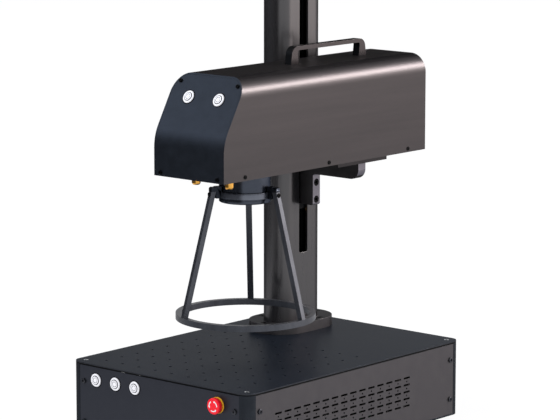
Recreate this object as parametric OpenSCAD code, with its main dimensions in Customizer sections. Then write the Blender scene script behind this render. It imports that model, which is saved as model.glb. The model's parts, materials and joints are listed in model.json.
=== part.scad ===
// Bench laser marking machine: a cabinet base with a drilled worktable, a slotted lift column,
// a marking head carried on an angle bracket, and a three-legged guard ring below the lens.
// Millimetres. The origin is the centre of the worktable's top face, +Z up, the front faces -Y.

/* [Base cabinet] */
// Width of the cabinet, left to right
base_w = 318; // [300:1:350]
// Depth of the cabinet, front to back
base_d = 450; // [430:1:500]
// Height from the underside of the bottom plate to the worktable
base_h = 105.5; // [100:0.5:130]
// Radius of the cabinet's upright corners
corner_r = 15; // [10:0.5:15]
// Thickness of the worktable plate
table_t = 3; // [2.5:0.5:4]
// Thickness of the sheet panels
panel_t = 2; // [1.5:0.1:3]
// Height of the rubber feet
foot_h = 10; // [6:1:16]

/* [Worktable holes] */
// Pitch of the drilled grid
grid_pitch = 30; // [26:1:31]
// Holes along each side of the grid
grid_count = 9; // [5:1:9]
// Diameter of the grid holes
grid_hole_d = 4.2; // [3:0.1:6]

/* [Side vents] */
// Length of one vent slot
vent_slot_l = 14; // [8:0.5:15]
// Height of one vent slot
vent_slot_h = 2.8; // [2:0.1:3.2]
// Distance between slots along a row
vent_pitch_y = 19.23; // [18:0.01:20]
// Distance between rows of slots
vent_pitch_z = 9.8; // [9:0.1:10.5]

/* [Front controls] */
// Diameter of a push button's bezel
button_d = 18; // [16:0.5:20]
// Distance between the push buttons on the cabinet
button_pitch = 35.7; // [24:0.1:36]
// Diameter of the emergency stop's mushroom head
estop_d = 22.5; // [20:0.5:26]

/* [Column] */
// Radius of the column's rounded front and back
col_r = 23.5; // [21:0.5:23.5]
// Distance between the centres of its two round ends
col_span = 45.4; // [44:0.2:50]
// Height of the column above the worktable
col_h = 540; // [520:5:560]
// Wall of the column's extrusion
col_wall = 4; // [3:0.25:4.5]
// Width of the slot that the bracket runs in
slot_w = 18; // [17:0.5:20]
// Height of the slot's lower end above the worktable
slot_z = 110; // [90:5:120]

/* [Lift] */
// Lead of the lift screw, travel for one turn of the handwheel
screw_lead = 5; // [2:0.5:10]
// Diameter of the lift screw
screw_d = 12; // [10:0.5:13]
// Diameter of the two guide rods
rod_d = 10; // [8:0.5:12]
// Diameter of the handwheel
wheel_d = 84; // [70:1:90]

/* [Marking head] */
// Width of the head
head_w = 124; // [120:1:126]
// Length of the head
head_l = 425.5; // [415:0.5:440]
// Height of the head's housing
head_h = 135; // [125:1:140]
// Height of the head's underside above the worktable
head_z = 257; // [250:1:265]
// Radius of the housing's top edges
head_r = 26; // [15:1:30]
// Lean of the head's upper front, from upright
front_lean = 30; // [20:1:35]
// Thickness of the housing sheet
head_t = 2; // [1.5:0.25:2.5]

/* [Lens and guard] */
// Diameter of the lens barrel
lens_d = 72; // [66:1:74]
// Length of the lens barrel below the head
lens_l = 42; // [38:1:48]
// Outer diameter of the guard ring
ring_d = 190; // [170:1:200]
// Height of the guard ring's bar
ring_h = 8.2; // [6:0.2:12]
// Height of the guard ring above the worktable
ring_z = 54.8; // [52:0.2:60]
// Height of the clamping collar
collar_h = 8.6; // [7:0.2:10]

/* [Carry handle] */
// Length of the handle over its feet
handle_l = 162; // [140:1:180]
// Height of the handle
handle_h = 24; // [22:1:30]
// Width of the handle's bar
handle_w = 11.4; // [9:0.2:14]

/* [Hidden] */
$fn = 48;

// Overrun of cuts, the usual running clearance, and the clearance of a screw in its hole
over = 1;
run_gap = 0.3;
fit_gap = 0.2;
hole_gap = 0.4;

// Screw sizes: thread, head and head height of the three kinds in use
small_d = 3;
small_head_d = 5.6;
small_head_h = 1.8;
panel_screw_d = 4;
panel_head_d = 7;
panel_head_h = 2.2;
big_d = 6;
big_head_d = 9.6;
big_head_h = 6;
panel_screw_l = 8;

// Cabinet
seam = 0.8;
floor_t = 2.5;
panel_recess = 0.4;
post_w = 15.5;
tab_l = 29;
tab_t = 4;
post_core = 19;
table_screw_in = 14;
table_screw_l = 14;
table_head_h = 2.2;
panel_screw_in = 23.3;
panel_screw_drop = 25.5;
panel_screw_rise = 21.5;
floor_top = -base_h + floor_t;
panel_top = -table_t - seam;
panel_h = panel_top - floor_top;
post_h = -table_t - floor_top;
foot_d = 32;
foot_top_d = 28;
foot_in = 34;
foot_screw_l = 8;
foot_recess = 4;
foot_recess_d = 14;

// Worktable grid: its front row's distance from the front edge, and the grid's centre
grid_in = 28;
grid_y = -base_d / 2 + grid_in + (grid_count - 1) / 2 * grid_pitch;

// Side vents: count along a row, rows, first slot's centre, and the small holes between rows
vent_cols = 15;
vent_rows = 5;
vent_in = 60.3;
vent_y = -base_d / 2 + vent_in;
vent_z = -34.5;
vent_dot_d = 2.6;

// Front controls
button_hole_d = 16;
button_bore_d = 12.6;
button_bezel_h = 1.6;
button_body_l = 22;
button_cap_d = 12;
button_cap_out = 0.6;
button_travel = 1.2;
button_cap_l = 8;
button_dish_d = 9;
button_dish_t = 0.4;
button_in = 46.2;
button_x = -base_w / 2 + button_in;
button_z = -21.3;
estop_in = 52.5;
estop_x = base_w / 2 - estop_in;
estop_collar_d = 25;
estop_collar_t = 2;
estop_body_l = 26;
estop_stem_d = 12;
estop_travel = 2.5;
estop_head_t = 4.2;
estop_lip = 0.9;
estop_stem_l = 12;
estop_pin_d = 4;

// Column place on the worktable, the head beside it, and the column's fittings
col_in_x = 80;
col_in_y = 87.3;
col_x = -base_w / 2 + col_in_x;
col_y = base_d / 2 - col_in_y;
head_gap = 1.5;
head_x = col_x + col_r + head_gap + head_w / 2;
flange_t = 14;
flange_margin = 21;
flange_screw_margin = 10.8;
flange_bore_depth = 6.4;
base_plate_t = 8;
base_plate_margin = 30;
slot_end_r = 4;
slot_top_gap = 40;
cap_t = 12;
cap_lip = 0.8;
plug_h = 22;
plug_gap = 0.3;
rod_off = 24;
bearing_h = 24;

// Lift screw, nut and handwheel
nut_d = 20;
nut_flange_d = 27;
nut_flange_t = 5;
nut_drop = 8;
journal_d = 8;
journal_gap = 0.3;
wheel_hub_d = 22;
wheel_hub_h = 16;
wheel_rim_w = 9;
wheel_rim_h = 10;
wheel_web_t = 5;
wheel_lift = 3;
wheel_hole_d = 17;
wheel_hole_count = 5;
knob_d = 14;
knob_l = 34;
knob_pin_d = 6;
knob_inset = 10;
lift_down = 50;
lift_up = 150;

// Bracket: an upright leg out of the slot and an arm below the head
carriage_gap = 0.5;
bracket_t = 15.5;
leg_x0 = col_x + col_r - col_wall - carriage_gap;
leg_l = 28.3;
leg_z0 = 180.8;
arm_h = 22.4;
arm_end_r = 14;
leg_end_r = 3;
plate_t = 9;
arm_x1 = head_x + 42.5;
plate_w = 87;
plate_l = 107;
plate_screw_x = 34;
plate_screw_y = 42;
carriage_h = 86;
carriage_over = 10;
bracket_screw_l = 28;
bracket_screw_drop = 8;
bracket_screw_pitch = 24.2;
counterbore_d = 10.4;
counterbore_h = 6.2;

// Head
head_in = 54.1;
head_y0 = -base_d / 2 + head_in;
front_bend_z = 53.4;
front_bend_r = 60;
bend_steps = 6;
front_t = 3;
rear_t = 3;
floor_h = 10;
head_screw_z = 5;
head_screw_ys = [42, 214, 386.5];
head_button_off = 26.6;
head_button_up = 59.5;
front_screw_x = 50.5;
front_screw_up = 81.2;
end_screw_l = 6;

// Handle
handle_in = 280.9;
handle_y = head_y0 + handle_in;
handle_bar_t = 5.6;
handle_leg_l = 16.4;
handle_leg_top = 12.5;
handle_r = 12;
handle_inner_r = 3;
handle_screw_l = 16;

// Optics: the lens axis, the mirrors' height, and the parts round them
lens_in = 112.9;
lens_y = head_y0 + lens_in;
adapter_l = 14;
lens_bore_d = 54;
lens_glass_d = 60;
lens_glass_t = 4;
lens_glass_rise = 4;
lens_step = 1.4;
lens_groove = 0.8;
mirror_z = 44;
block_x_off = 12;
block_x = head_x + block_x_off;
block_w = 84;
block_d = 84;
block_h = 74;
cavity_w = 62;
cavity_d = 46;
cavity_h = 52;
mirror_t = 2;
mirror_w = 16;
mirror_l = 24;
mirror_x_off = 32;
galvo_d = 21;
galvo_l = 34;
shaft_d = 4;
expander_d = 34;
expander_l = 150;
expander_end_d = 40;
expander_ring_l = 12;
saddle_w = 44;
saddle_t = 10;
pointer_d = 12;
pointer_tip_d = 9;
pointer_tip_l = 2.5;
pointer_l = 26;
pointer_drop = 14.7;
pointer_x = 29.4;
pointer_ahead = 66;
pointer_y = lens_y - pointer_ahead;

// Guard: collar, lugs, legs and ring
collar_t = 2.6;
collar_z = 222;
collar_gap = 0.15;
lug_w = 9;
lug_h = 16;
lug_top_t = 6;
guard_leg_w = 8;
guard_leg_t = 7;
guard_leg_top = 231.3;
guard_top_r = 49;
ring_t = 8;
guard_angle = 7;
guard_legs = 3;
lug_tip_r = 2.5;
guard_screw_d = 4;
guard_screw_l = 12;
guard_screw_z = 227.4;
guard_screw_head = 6;
guard_screw_head_h = 1.6;
clamp_screw_d = 4;
clamp_screw_l = 12;
clamp_block = 8;
clamp_angle = 40;

// Cabinet's inner units
source_side = 46;
source_front = 25;
source_room_x = 140;
source_room_y = 200;
source_w = base_w - source_room_x;
source_d = base_d - source_room_y;
source_h = 70;
source_x = -base_w / 2 + source_side + source_w / 2;
source_y = -base_d / 2 + source_front + source_d / 2;
source_fin_t = 2;
source_fin_h = 12;
source_fins = 18;
supply_w = 62;
supply_h = 42;
supply_side = 18;
supply_front = 55;
supply_gap = 60;
supply_x = base_w / 2 - supply_side - supply_w / 2;
board_w = 96;
board_t = 1.6;
board_gap = 10;
board_rear = 35;
board_side = 23;
board_d = base_d - source_front - source_d - board_gap - board_rear;
supply_d = base_d - supply_front - supply_gap - board_d - board_rear;
supply_y = -base_d / 2 + supply_front + supply_d / 2;
board_x = base_w / 2 - board_side - board_w / 2;
board_y = base_d / 2 - board_rear - board_d / 2;
standoff_h = 8;
standoff_d = 7;
board_in = 6;
fan_w = 60;
fan_t = 25;
fan_bore_d = 56;
fan_hub_d = 26;
fan_blades = 7;
fan_blade_t = 1.6;
fan_lean = 38;
fan_z = -54;
fan_spoke_w = 5;
fan_spoke_t = 3;
grille_rings = 4;
grille_bar = 2;
inlet_z = -62;
inlet_w = 50;
inlet_h = 24;
inlet_flange_t = 3;
inlet_body_w = 30;
inlet_body_h = 21;
inlet_cup_w = 25;
inlet_cup_h = 17;
inlet_cup_depth = 16;
inlet_l = 22;
inlet_pin_l = 9;
inlet_pin_w = 4;
inlet_pin_t = 2;
inlet_pin_pitch = 7;
inlet_pin_rise = 3.5;
switch_w = 26;
switch_h = 19;
switch_flange = 2;
switch_flange_t = 2;
switch_l = 20;
rocker_w = 21;
rocker_h = 12.5;
rocker_t = 7;
rocker_pin_d = 3;
rocker_pin_l = 1.5;
socket_d = 19;
socket_flange_t = 2;
socket_l = 14;
socket_bore_d = 12;
socket_bore_l = 6;
socket_body_d = 15.6;

// Units of the rear wall, right to left as seen from the front: inlet, switch, socket, fan
rear_shares = [0.302, 0.126, -0.063, -0.283];
inlet_x = base_w * rear_shares[0];
switch_x = base_w * rear_shares[1];
socket_x = base_w * rear_shares[2];
fan_x = base_w * rear_shares[3];

// Cable glands: one on the cabinet's rear above the socket, one on the head's rear
gland_z = -32;
gland_thread_d = 16;
gland_hex_d = 24;
gland_hex_h = 5;
gland_nut_d = 20;
gland_nut_h = 13;
gland_mouth_d = 14;
gland_bore_d = 7;
gland_l = 12;
head_gland_x = 30;
head_gland_z = 45;

// Plain shapes

// Rectangle with four round corners, centred
module round_rect(w, d, r) {
    square([w - 2 * r, d], center = true);
    square([w, d - 2 * r], center = true);
    for (sx = [-1, 1], sy = [-1, 1])
        translate([sx * (w / 2 - r), sy * (d / 2 - r)])
            circle(r);
}

// Two half circles joined by straight sides, long along Y
module obround(r, span) {
    square([2 * r, span], center = true);
    for (s = [-1, 1])
        translate([0, s * span / 2])
            circle(r);
}

// Block on a point: centred in X and Y, rising from it
module block(w, d, h) {
    translate([-w / 2, -d / 2, 0])
        cube([w, d, h]);
}

// Screw lying along -Z from the seat of its head, head up, with a hexagon socket
module screw(d, l, head_d, head_h) {
    difference() {
        union() {
            translate([0, 0, -l])
                cylinder(d = d, h = l);
            cylinder(d = head_d, h = head_h);
        }
        translate([0, 0, head_h / 2])
            cylinder(d = head_d / 2, h = head_h, $fn = 6);
    }
}

// Places and turns its children on the outside of the front (0), right (1), rear (2) or left (3) wall
module on_wall(side, along, z) {
    rotate([0, 0, side * 90])
        translate([along, -(side % 2 == 0 ? base_d : base_w) / 2, z])
            rotate([90, 0, 0])
                children();
}

// Runs its children at each of the cabinet's four corners, mirrored to suit
module at_corners(inset_x, inset_y) {
    for (sx = [-1, 1], sy = [-1, 1])
        translate([sx * (base_w / 2 - inset_x), sy * (base_d / 2 - inset_y), 0])
            children();
}

// Cabinet shell

module bottom_plate() {
    color("#2c2f33")
        difference() {
            translate([0, 0, -base_h])
                linear_extrude(floor_t)
                    round_rect(base_w, base_d, corner_r);
            at_corners(foot_in, foot_in)
                translate([0, 0, -base_h - over])
                    cylinder(d = panel_screw_d + hole_gap, h = floor_t + 2 * over);
        }
}

module feet() {
    color("#1a1a1b")
        at_corners(foot_in, foot_in)
            translate([0, 0, -base_h - foot_h])
                difference() {
                    rotate_extrude()
                        polygon([[0, 0], [foot_top_d / 2, 0], [foot_d / 2, foot_h / 2],
                            [foot_d / 2, foot_h], [0, foot_h]]);
                    translate([0, 0, -over])
                        cylinder(d = foot_recess_d, h = foot_recess + over);
                    translate([0, 0, -over])
                        cylinder(d = panel_screw_d + hole_gap, h = foot_h + 2 * over);
                }
}

// One corner post's section, in the corner's own quarter, inside the cabinet's rounded corner
module post_section() {
    inset = panel_t + panel_recess;
    reach = inset + tab_l;
    difference() {
        intersection() {
            union() {
                square(post_w);
                translate([inset, inset]) {
                    square(post_core);
                    square([tab_l, tab_t]);
                    square([tab_t, tab_l]);
                }
            }
            union() {
                translate([corner_r, corner_r])
                    circle(corner_r);
                translate([corner_r, 0])
                    square(reach);
                translate([0, corner_r])
                    square(reach);
            }
        }
        translate([table_screw_in, table_screw_in])
            circle(d = panel_screw_d + hole_gap);
    }
}

module corner_posts() {
    color("#33363b")
        difference() {
            for (mx = [0, 1], my = [0, 1])
                mirror([mx, 0, 0])
                    mirror([0, my, 0])
                        translate([-base_w / 2, -base_d / 2, floor_top])
                            linear_extrude(post_h)
                                post_section();
            panel_screw_places()
                translate([0, 0, -panel_screw_l - over])
                    cylinder(d = panel_screw_d + hole_gap, h = panel_screw_l + over);
        }
}

// Seats of the sixteen panel screws: two near each end of each wall
module panel_screw_places() {
    for (side = [0, 1, 2, 3], s = [-1, 1], z = [-panel_screw_drop, floor_top + panel_screw_rise])
        on_wall(side, s * ((side % 2 == 0 ? base_w : base_d) / 2 - panel_screw_in), z)
            translate([0, 0, -panel_recess])
                children();
}

// Plain panel of one wall with its screw holes
module panel_blank(side) {
    length = (side % 2 == 0 ? base_w : base_d) - 2 * (post_w + fit_gap);
    difference() {
        on_wall(side, 0, floor_top)
            translate([-length / 2, 0, -panel_t - panel_recess])
                cube([length, panel_h, panel_t]);
        panel_screw_places()
            translate([0, 0, -panel_t - over])
                cylinder(d = panel_screw_d + hole_gap, h = panel_t + 2 * over);
    }
}

module front_panel() {
    color("#30343a")
        difference() {
            panel_blank(0);
            for (i = [0:2])
                on_wall(0, button_x + i * button_pitch, button_z)
                    translate([0, 0, -panel_t - panel_recess - over])
                        cylinder(d = button_hole_d + hole_gap, h = panel_t + 2 * over);
            on_wall(0, estop_x, button_z)
                translate([0, 0, -panel_t - panel_recess - over])
                    cylinder(d = button_hole_d + hole_gap, h = panel_t + 2 * over);
        }
}

// Vent field: rows of slots with a small hole between each pair of rows
module vent_field() {
    for (i = [0:vent_cols - 1]) {
        for (k = [0:vent_rows - 1])
            translate([i * vent_pitch_y, -k * vent_pitch_z])
                rotate([0, 0, 90])
                    obround(vent_slot_h / 2, vent_slot_l - vent_slot_h);
        for (k = [0:vent_rows - 2])
            translate([i * vent_pitch_y, -(k + 1 / 2) * vent_pitch_z])
                circle(d = vent_dot_d, $fn = 16);
    }
}

module side_panel(side) {
    difference() {
        panel_blank(side);
        on_wall(side, side == 1 ? vent_y : -vent_y - (vent_cols - 1) * vent_pitch_y, vent_z)
            translate([0, 0, -panel_t - panel_recess - over])
                linear_extrude(panel_t + 2 * over)
                    vent_field();
    }
}

module right_panel() {
    color("#565150")
        side_panel(1);
}

module left_panel() {
    color("#565150")
        side_panel(3);
}

// Fan opening: concentric rings of slots left open by four bars
module fan_opening() {
    ring_w = fan_bore_d / 2 / (grille_rings + 1 / 2);
    difference() {
        circle(d = fan_bore_d);
        for (k = [1:grille_rings])
            difference() {
                circle(r = k * ring_w);
                circle(r = k * ring_w - grille_bar);
            }
        for (a = [45, 135])
            rotate([0, 0, a])
                square([fan_bore_d + over, grille_bar], center = true);
    }
}

module rear_panel() {
    color("#2c2f33")
        difference() {
            panel_blank(2);
            on_wall(2, fan_x, fan_z)
                translate([0, 0, -panel_t - panel_recess - over])
                    linear_extrude(panel_t + 2 * over)
                        fan_opening();
            on_wall(2, inlet_x, inlet_z)
                translate([0, 0, -panel_t / 2 - panel_recess])
                    cube([inlet_body_w + hole_gap, inlet_body_h + hole_gap, panel_t + 2 * over],
                        center = true);
            on_wall(2, switch_x, inlet_z)
                translate([0, 0, -panel_t / 2 - panel_recess])
                    cube([switch_w + hole_gap, switch_h + hole_gap, panel_t + 2 * over],
                        center = true);
            on_wall(2, socket_x, inlet_z)
                translate([0, 0, -panel_t - panel_recess - over])
                    cylinder(d = socket_body_d + hole_gap, h = panel_t + 2 * over);
            on_wall(2, socket_x, gland_z)
                translate([0, 0, -panel_t - panel_recess - over])
                    cylinder(d = gland_thread_d + hole_gap, h = panel_t + 2 * over);
        }
}

module worktable() {
    color("#383e46")
        difference() {
            translate([0, 0, -table_t])
                linear_extrude(table_t)
                    round_rect(base_w, base_d, corner_r);
            for (i = [0:grid_count - 1], j = [0:grid_count - 1])
                translate([(i - (grid_count - 1) / 2) * grid_pitch,
                    grid_y + (j - (grid_count - 1) / 2) * grid_pitch, -table_t - over])
                    cylinder(d = grid_hole_d, h = table_t + 2 * over, $fn = 24);
            at_corners(table_screw_in, table_screw_in) {
                translate([0, 0, -table_head_h])
                    cylinder(d = panel_head_d + hole_gap, h = table_head_h + over);
                translate([0, 0, -table_t - over])
                    cylinder(d = panel_screw_d + hole_gap, h = table_t + 2 * over);
            }
            flange_screw_places()
                translate([0, 0, -flange_t - table_t - over])
                    cylinder(d = big_d + hole_gap, h = table_t + 2 * over);
        }
}

// Screws of the worktable's corners, of the panels, and of the feet
module cabinet_screws() {
    color("#b9bcc0")
        at_corners(table_screw_in, table_screw_in)
            translate([0, 0, -table_head_h])
                screw(panel_screw_d, table_screw_l, panel_head_d, panel_head_h);
    color("#2a2b2d")
        panel_screw_places()
            screw(panel_screw_d, panel_screw_l, panel_head_d, panel_head_h);
    color("#8d9094")
        at_corners(foot_in, foot_in)
            translate([0, 0, -base_h - foot_h + foot_recess])
                mirror([0, 0, 1])
                    screw(panel_screw_d, foot_screw_l, panel_head_d, panel_head_h);
}

module column_base_plate() {
    color("#5a5d60")
        difference() {
            translate([col_x, col_y, -table_t - base_plate_t])
                linear_extrude(base_plate_t)
                    obround(col_r + base_plate_margin, col_span);
            flange_screw_places()
                translate([0, 0, -flange_t - table_t - base_plate_t - over])
                    cylinder(d = big_d + hole_gap, h = base_plate_t + 2 * over);
        }
}

// Cabinet's inner units

module laser_source() {
    fin_pitch = source_d / source_fins;
    color("#9aa0a6")
        difference() {
            translate([source_x, source_y, floor_top])
                block(source_w, source_d, source_h);
            for (i = [0:source_fins - 1])
                translate([source_x, source_y - source_d / 2 + (i + 1 / 2) * fin_pitch,
                    floor_top + source_h - source_fin_h])
                    block(source_w + 2 * over, fin_pitch - source_fin_t, source_fin_h + over);
        }
}

module power_supply() {
    color("#a9acaf")
        difference() {
            translate([supply_x, supply_y, floor_top])
                block(supply_w, supply_d, supply_h);
            translate([supply_x, supply_y - supply_d / 2, floor_top + supply_h / 2])
                block(supply_w - 2 * supply_h / 4, supply_h, supply_h);
        }
}

module control_board() {
    color("#2f6b45") {
        translate([board_x, board_y, floor_top + standoff_h])
            block(board_w, board_d, board_t);
        for (sx = [-1, 1], sy = [-1, 1])
            translate([board_x + sx * (board_w / 2 - board_in),
                board_y + sy * (board_d / 2 - board_in), floor_top])
                cylinder(d = standoff_d, h = standoff_h);
        for (i = [0:2])
            translate([board_x - board_w / 4, board_y + (i - 1) * board_d / 4,
                floor_top + standoff_h + board_t])
                block(board_w / 5, board_d / 6, standoff_h);
        translate([board_x + board_w / 5, board_y, floor_top + standoff_h + board_t])
            block(board_w / 4, board_d / 2, standoff_d / 2);
    }
}

module fan_frame() {
    hub_l = fan_t - fan_spoke_t - 2 * run_gap;
    color("#1d1e20")
        on_wall(2, fan_x, fan_z)
            translate([0, 0, -panel_t - panel_recess - fan_t]) {
                difference() {
                    translate([-fan_w / 2, -fan_w / 2, 0])
                        cube([fan_w, fan_w, fan_t]);
                    translate([0, 0, -over])
                        cylinder(d = fan_bore_d, h = fan_t + 2 * over);
                }
                for (a = [0, 90])
                    rotate([0, 0, a])
                        translate([-fan_w / 2, -fan_spoke_w / 2, 0])
                            cube([fan_w, fan_spoke_w, fan_spoke_t]);
                cylinder(d = fan_hub_d, h = fan_spoke_t);
                cylinder(d = shaft_d, h = fan_spoke_t + hub_l / 2);
            }
}

module fan_rotor() {
    hub_l = fan_t - fan_spoke_t - 2 * run_gap;
    blade_l = fan_bore_d / 2 - fan_hub_d / 2 - over;
    color("#26282a")
        on_wall(2, fan_x, fan_z)
            translate([0, 0, -panel_t - panel_recess - fan_t + fan_spoke_t + run_gap])
                difference() {
                    union() {
                        cylinder(d = fan_hub_d, h = hub_l);
                        intersection() {
                            cylinder(d = fan_bore_d - 2 * over, h = hub_l);
                            for (i = [0:fan_blades - 1])
                                rotate([0, 0, i * 360 / fan_blades])
                                    translate([fan_hub_d / 2 - over, 0, hub_l / 2])
                                        rotate([90 - fan_lean, 0, 0])
                                            translate([0, -hub_l / 2, -fan_blade_t / 2])
                                                cube([blade_l + over, hub_l, fan_blade_t]);
                        }
                    }
                    translate([0, 0, -over])
                        cylinder(d = shaft_d + 2 * run_gap, h = hub_l / 2 + over + run_gap);
                }
}

module power_inlet() {
    color("#151617")
        on_wall(2, inlet_x, inlet_z)
            translate([0, 0, -panel_recess]) {
                difference() {
                    union() {
                        translate([-inlet_w / 2, -inlet_h / 2, 0])
                            cube([inlet_w, inlet_h, inlet_flange_t]);
                        translate([-inlet_body_w / 2, -inlet_body_h / 2, -inlet_l])
                            cube([inlet_body_w, inlet_body_h, inlet_l]);
                    }
                    translate([-inlet_cup_w / 2, -inlet_cup_h / 2, inlet_flange_t - inlet_cup_depth])
                        cube([inlet_cup_w, inlet_cup_h, inlet_cup_depth + over]);
                }
                for (i = [-1, 0, 1])
                    translate([i * inlet_pin_pitch - inlet_pin_t / 2,
                        (i == 0 ? 1 : -1) * inlet_pin_rise - inlet_pin_w / 2,
                        inlet_flange_t - inlet_cup_depth])
                        cube([inlet_pin_t, inlet_pin_w, inlet_pin_l]);
            }
}

module switch_frame() {
    bore_l = rocker_h + 2 * rocker_pin_l + 2 * run_gap;
    color("#151617")
        difference() {
            on_wall(2, switch_x, inlet_z)
                translate([0, 0, -panel_recess])
                    difference() {
                        union() {
                            translate([-switch_w / 2 - switch_flange, -switch_h / 2 - switch_flange, 0])
                                cube([switch_w + 2 * switch_flange, switch_h + 2 * switch_flange,
                                    switch_flange_t]);
                            translate([-switch_w / 2, -switch_h / 2, -switch_l])
                                cube([switch_w, switch_h, switch_l]);
                        }
                        translate([-rocker_w / 2 - run_gap, -rocker_h / 2 - run_gap, -rocker_t])
                            cube([rocker_w + 2 * run_gap, rocker_h + 2 * run_gap, rocker_t * 2]);
                    }
            rocker_place()
                translate([0, 0, -bore_l / 2])
                    cylinder(d = rocker_pin_d + 2 * run_gap, h = bore_l);
        }
}

// Pivot of the rocker, its axis upright along the wall
module rocker_place() {
    on_wall(2, switch_x, inlet_z)
        translate([0, 0, -panel_recess + switch_flange_t - rocker_t / 2])
            rotate([90, 0, 0])
                children();
}

// Rocker: a shallow vee of two faces on a round hub, with a pin at each end
module power_rocker() {
    half = rocker_w / 2 - over;
    color("#b3121c")
        rocker_place() {
            translate([0, 0, -rocker_h / 2])
                linear_extrude(rocker_h)
                    polygon([[-half, rocker_t * 3 / 4], [0, rocker_t / 2], [half, rocker_t * 3 / 4],
                        [half, 0], [-half, 0]]);
            translate([0, 0, -rocker_h / 2])
                cylinder(r = rocker_pin_d, h = rocker_h);
            translate([0, 0, -rocker_h / 2 - rocker_pin_l])
                cylinder(d = rocker_pin_d, h = rocker_h + 2 * rocker_pin_l);
        }
}

module pedal_socket() {
    color("#b5b8bb")
        on_wall(2, socket_x, inlet_z)
            translate([0, 0, -panel_recess])
                difference() {
                    union() {
                        cylinder(d = socket_d, h = socket_flange_t);
                        translate([0, 0, -socket_l])
                            cylinder(d = socket_body_d, h = socket_l + socket_flange_t + socket_bore_l);
                    }
                    translate([0, 0, socket_flange_t])
                        cylinder(d = socket_bore_d, h = socket_bore_l + over);
                }
}

// Cable gland on a wall at z zero: thread behind, hexagon and domed nut before it, blind bore
module gland() {
    difference() {
        union() {
            translate([0, 0, -gland_l])
                cylinder(d = gland_thread_d, h = gland_l + gland_hex_h);
            cylinder(d = gland_hex_d, h = gland_hex_h, $fn = 6);
            rotate_extrude()
                polygon([[0, gland_hex_h], [gland_nut_d / 2, gland_hex_h],
                    [gland_nut_d / 2, gland_hex_h + gland_nut_h / 2],
                    [gland_mouth_d / 2, gland_hex_h + gland_nut_h], [0, gland_hex_h + gland_nut_h]]);
        }
        cylinder(d = gland_bore_d, h = gland_l + gland_nut_h);
    }
}

module cabinet_gland() {
    color("#1b1c1e")
        on_wall(2, socket_x, gland_z)
            translate([0, 0, -panel_recess])
                gland();
}

module head_gland_place() {
    translate([head_x + head_gland_x, head_y0 + head_l, head_z + head_gland_z])
        rotate([-90, 0, 0])
            children();
}

module head_gland() {
    color("#1b1c1e")
        head_gland_place()
            gland();
}

// Push buttons: a turned bezel with a threaded body behind the sheet, and a dished cap in it

module bezel() {
    rotate_extrude()
        polygon([[button_bore_d / 2, -button_body_l], [button_hole_d / 2, -button_body_l],
            [button_hole_d / 2, 0], [button_d / 2, 0], [button_d / 2, button_bezel_h / 2],
            [button_d / 2 - button_bezel_h / 2, button_bezel_h], [button_bore_d / 2, button_bezel_h]]);
}

module cap() {
    difference() {
        translate([0, 0, button_bezel_h + button_cap_out - button_cap_l])
            cylinder(d = button_cap_d, h = button_cap_l);
        translate([0, 0, button_bezel_h + button_cap_out - button_dish_t])
            cylinder(d = button_dish_d, h = button_dish_t + over);
    }
}

module cabinet_button(i) {
    on_wall(0, button_x + i * button_pitch, button_z)
        translate([0, 0, -panel_recess])
            children();
}

module button_bezels() {
    color("#c9cbce")
        for (i = [0:2])
            cabinet_button(i)
                bezel();
}

module button_1() {
    color("#e3e4e6")
        cabinet_button(0)
            cap();
}

module button_2() {
    color("#e3e4e6")
        cabinet_button(1)
            cap();
}

module button_3() {
    color("#e3e4e6")
        cabinet_button(2)
            cap();
}

// Emergency stop: a yellow collar on the panel, a stem that slides, a head that turns on it
module estop_place() {
    on_wall(0, estop_x, button_z)
        translate([0, 0, -panel_recess])
            children();
}

module estop_collar() {
    color("#f5a623")
        estop_place()
            difference() {
                union() {
                    cylinder(d = estop_collar_d, h = estop_collar_t);
                    translate([0, 0, -estop_body_l])
                        cylinder(d = button_hole_d, h = estop_body_l);
                }
                translate([0, 0, -estop_body_l - over])
                    cylinder(d = estop_stem_d + 2 * run_gap, h = estop_body_l + estop_collar_t + 2 * over);
            }
}

module estop_stem() {
    head_z0 = estop_collar_t + estop_travel + run_gap;
    color("#3a3a3c")
        estop_place() {
            translate([0, 0, head_z0 - estop_stem_l])
                cylinder(d = estop_stem_d, h = estop_stem_l - run_gap);
            translate([0, 0, head_z0 - over])
                cylinder(d = estop_pin_d, h = estop_head_t / 2 + over);
        }
}

module estop_head() {
    head_z0 = estop_collar_t + estop_travel + run_gap;
    color("#e01a2b")
        estop_place()
            translate([0, 0, head_z0])
                rotate_extrude()
                    polygon([[estop_pin_d / 2 + run_gap, 0], [estop_d / 2 - estop_lip, 0],
                        [estop_d / 2, estop_lip], [estop_d / 2, estop_head_t - estop_lip],
                        [estop_d / 2 - estop_lip, estop_head_t], [0, estop_head_t + estop_lip / 2],
                        [0, estop_head_t / 2 + run_gap],
                        [estop_pin_d / 2 + run_gap, estop_head_t / 2 + run_gap]]);
}

// Column

// Seats of the six flange screws: one at each end and two beside each round end
module flange_screw_places() {
    reach = col_r + flange_screw_margin;
    for (s = [-1, 1])
        for (p = [[0, s * (col_span / 2 + reach)], [-reach, s * col_span / 2],
            [reach, s * col_span / 2]])
            translate([col_x + p[0], col_y + p[1], flange_t])
                children();
}

module column_flange() {
    color("#3c4045")
        difference() {
            translate([col_x, col_y, 0])
                linear_extrude(flange_t)
                    obround(col_r + flange_margin, col_span);
            flange_screw_places() {
                translate([0, 0, -flange_bore_depth])
                    cylinder(d = counterbore_d, h = flange_bore_depth + over);
                translate([0, 0, -flange_t - over])
                    cylinder(d = big_d + hole_gap, h = flange_t + 2 * over);
            }
        }
}

module flange_screws() {
    color("#85888c")
        flange_screw_places()
            translate([0, 0, -flange_bore_depth])
                screw(big_d, flange_t + table_t + base_plate_t - flange_bore_depth, big_head_d,
                    big_head_h);
}

module column_section() {
    difference() {
        obround(col_r, col_span);
        obround(col_r - col_wall, col_span);
    }
}

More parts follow.
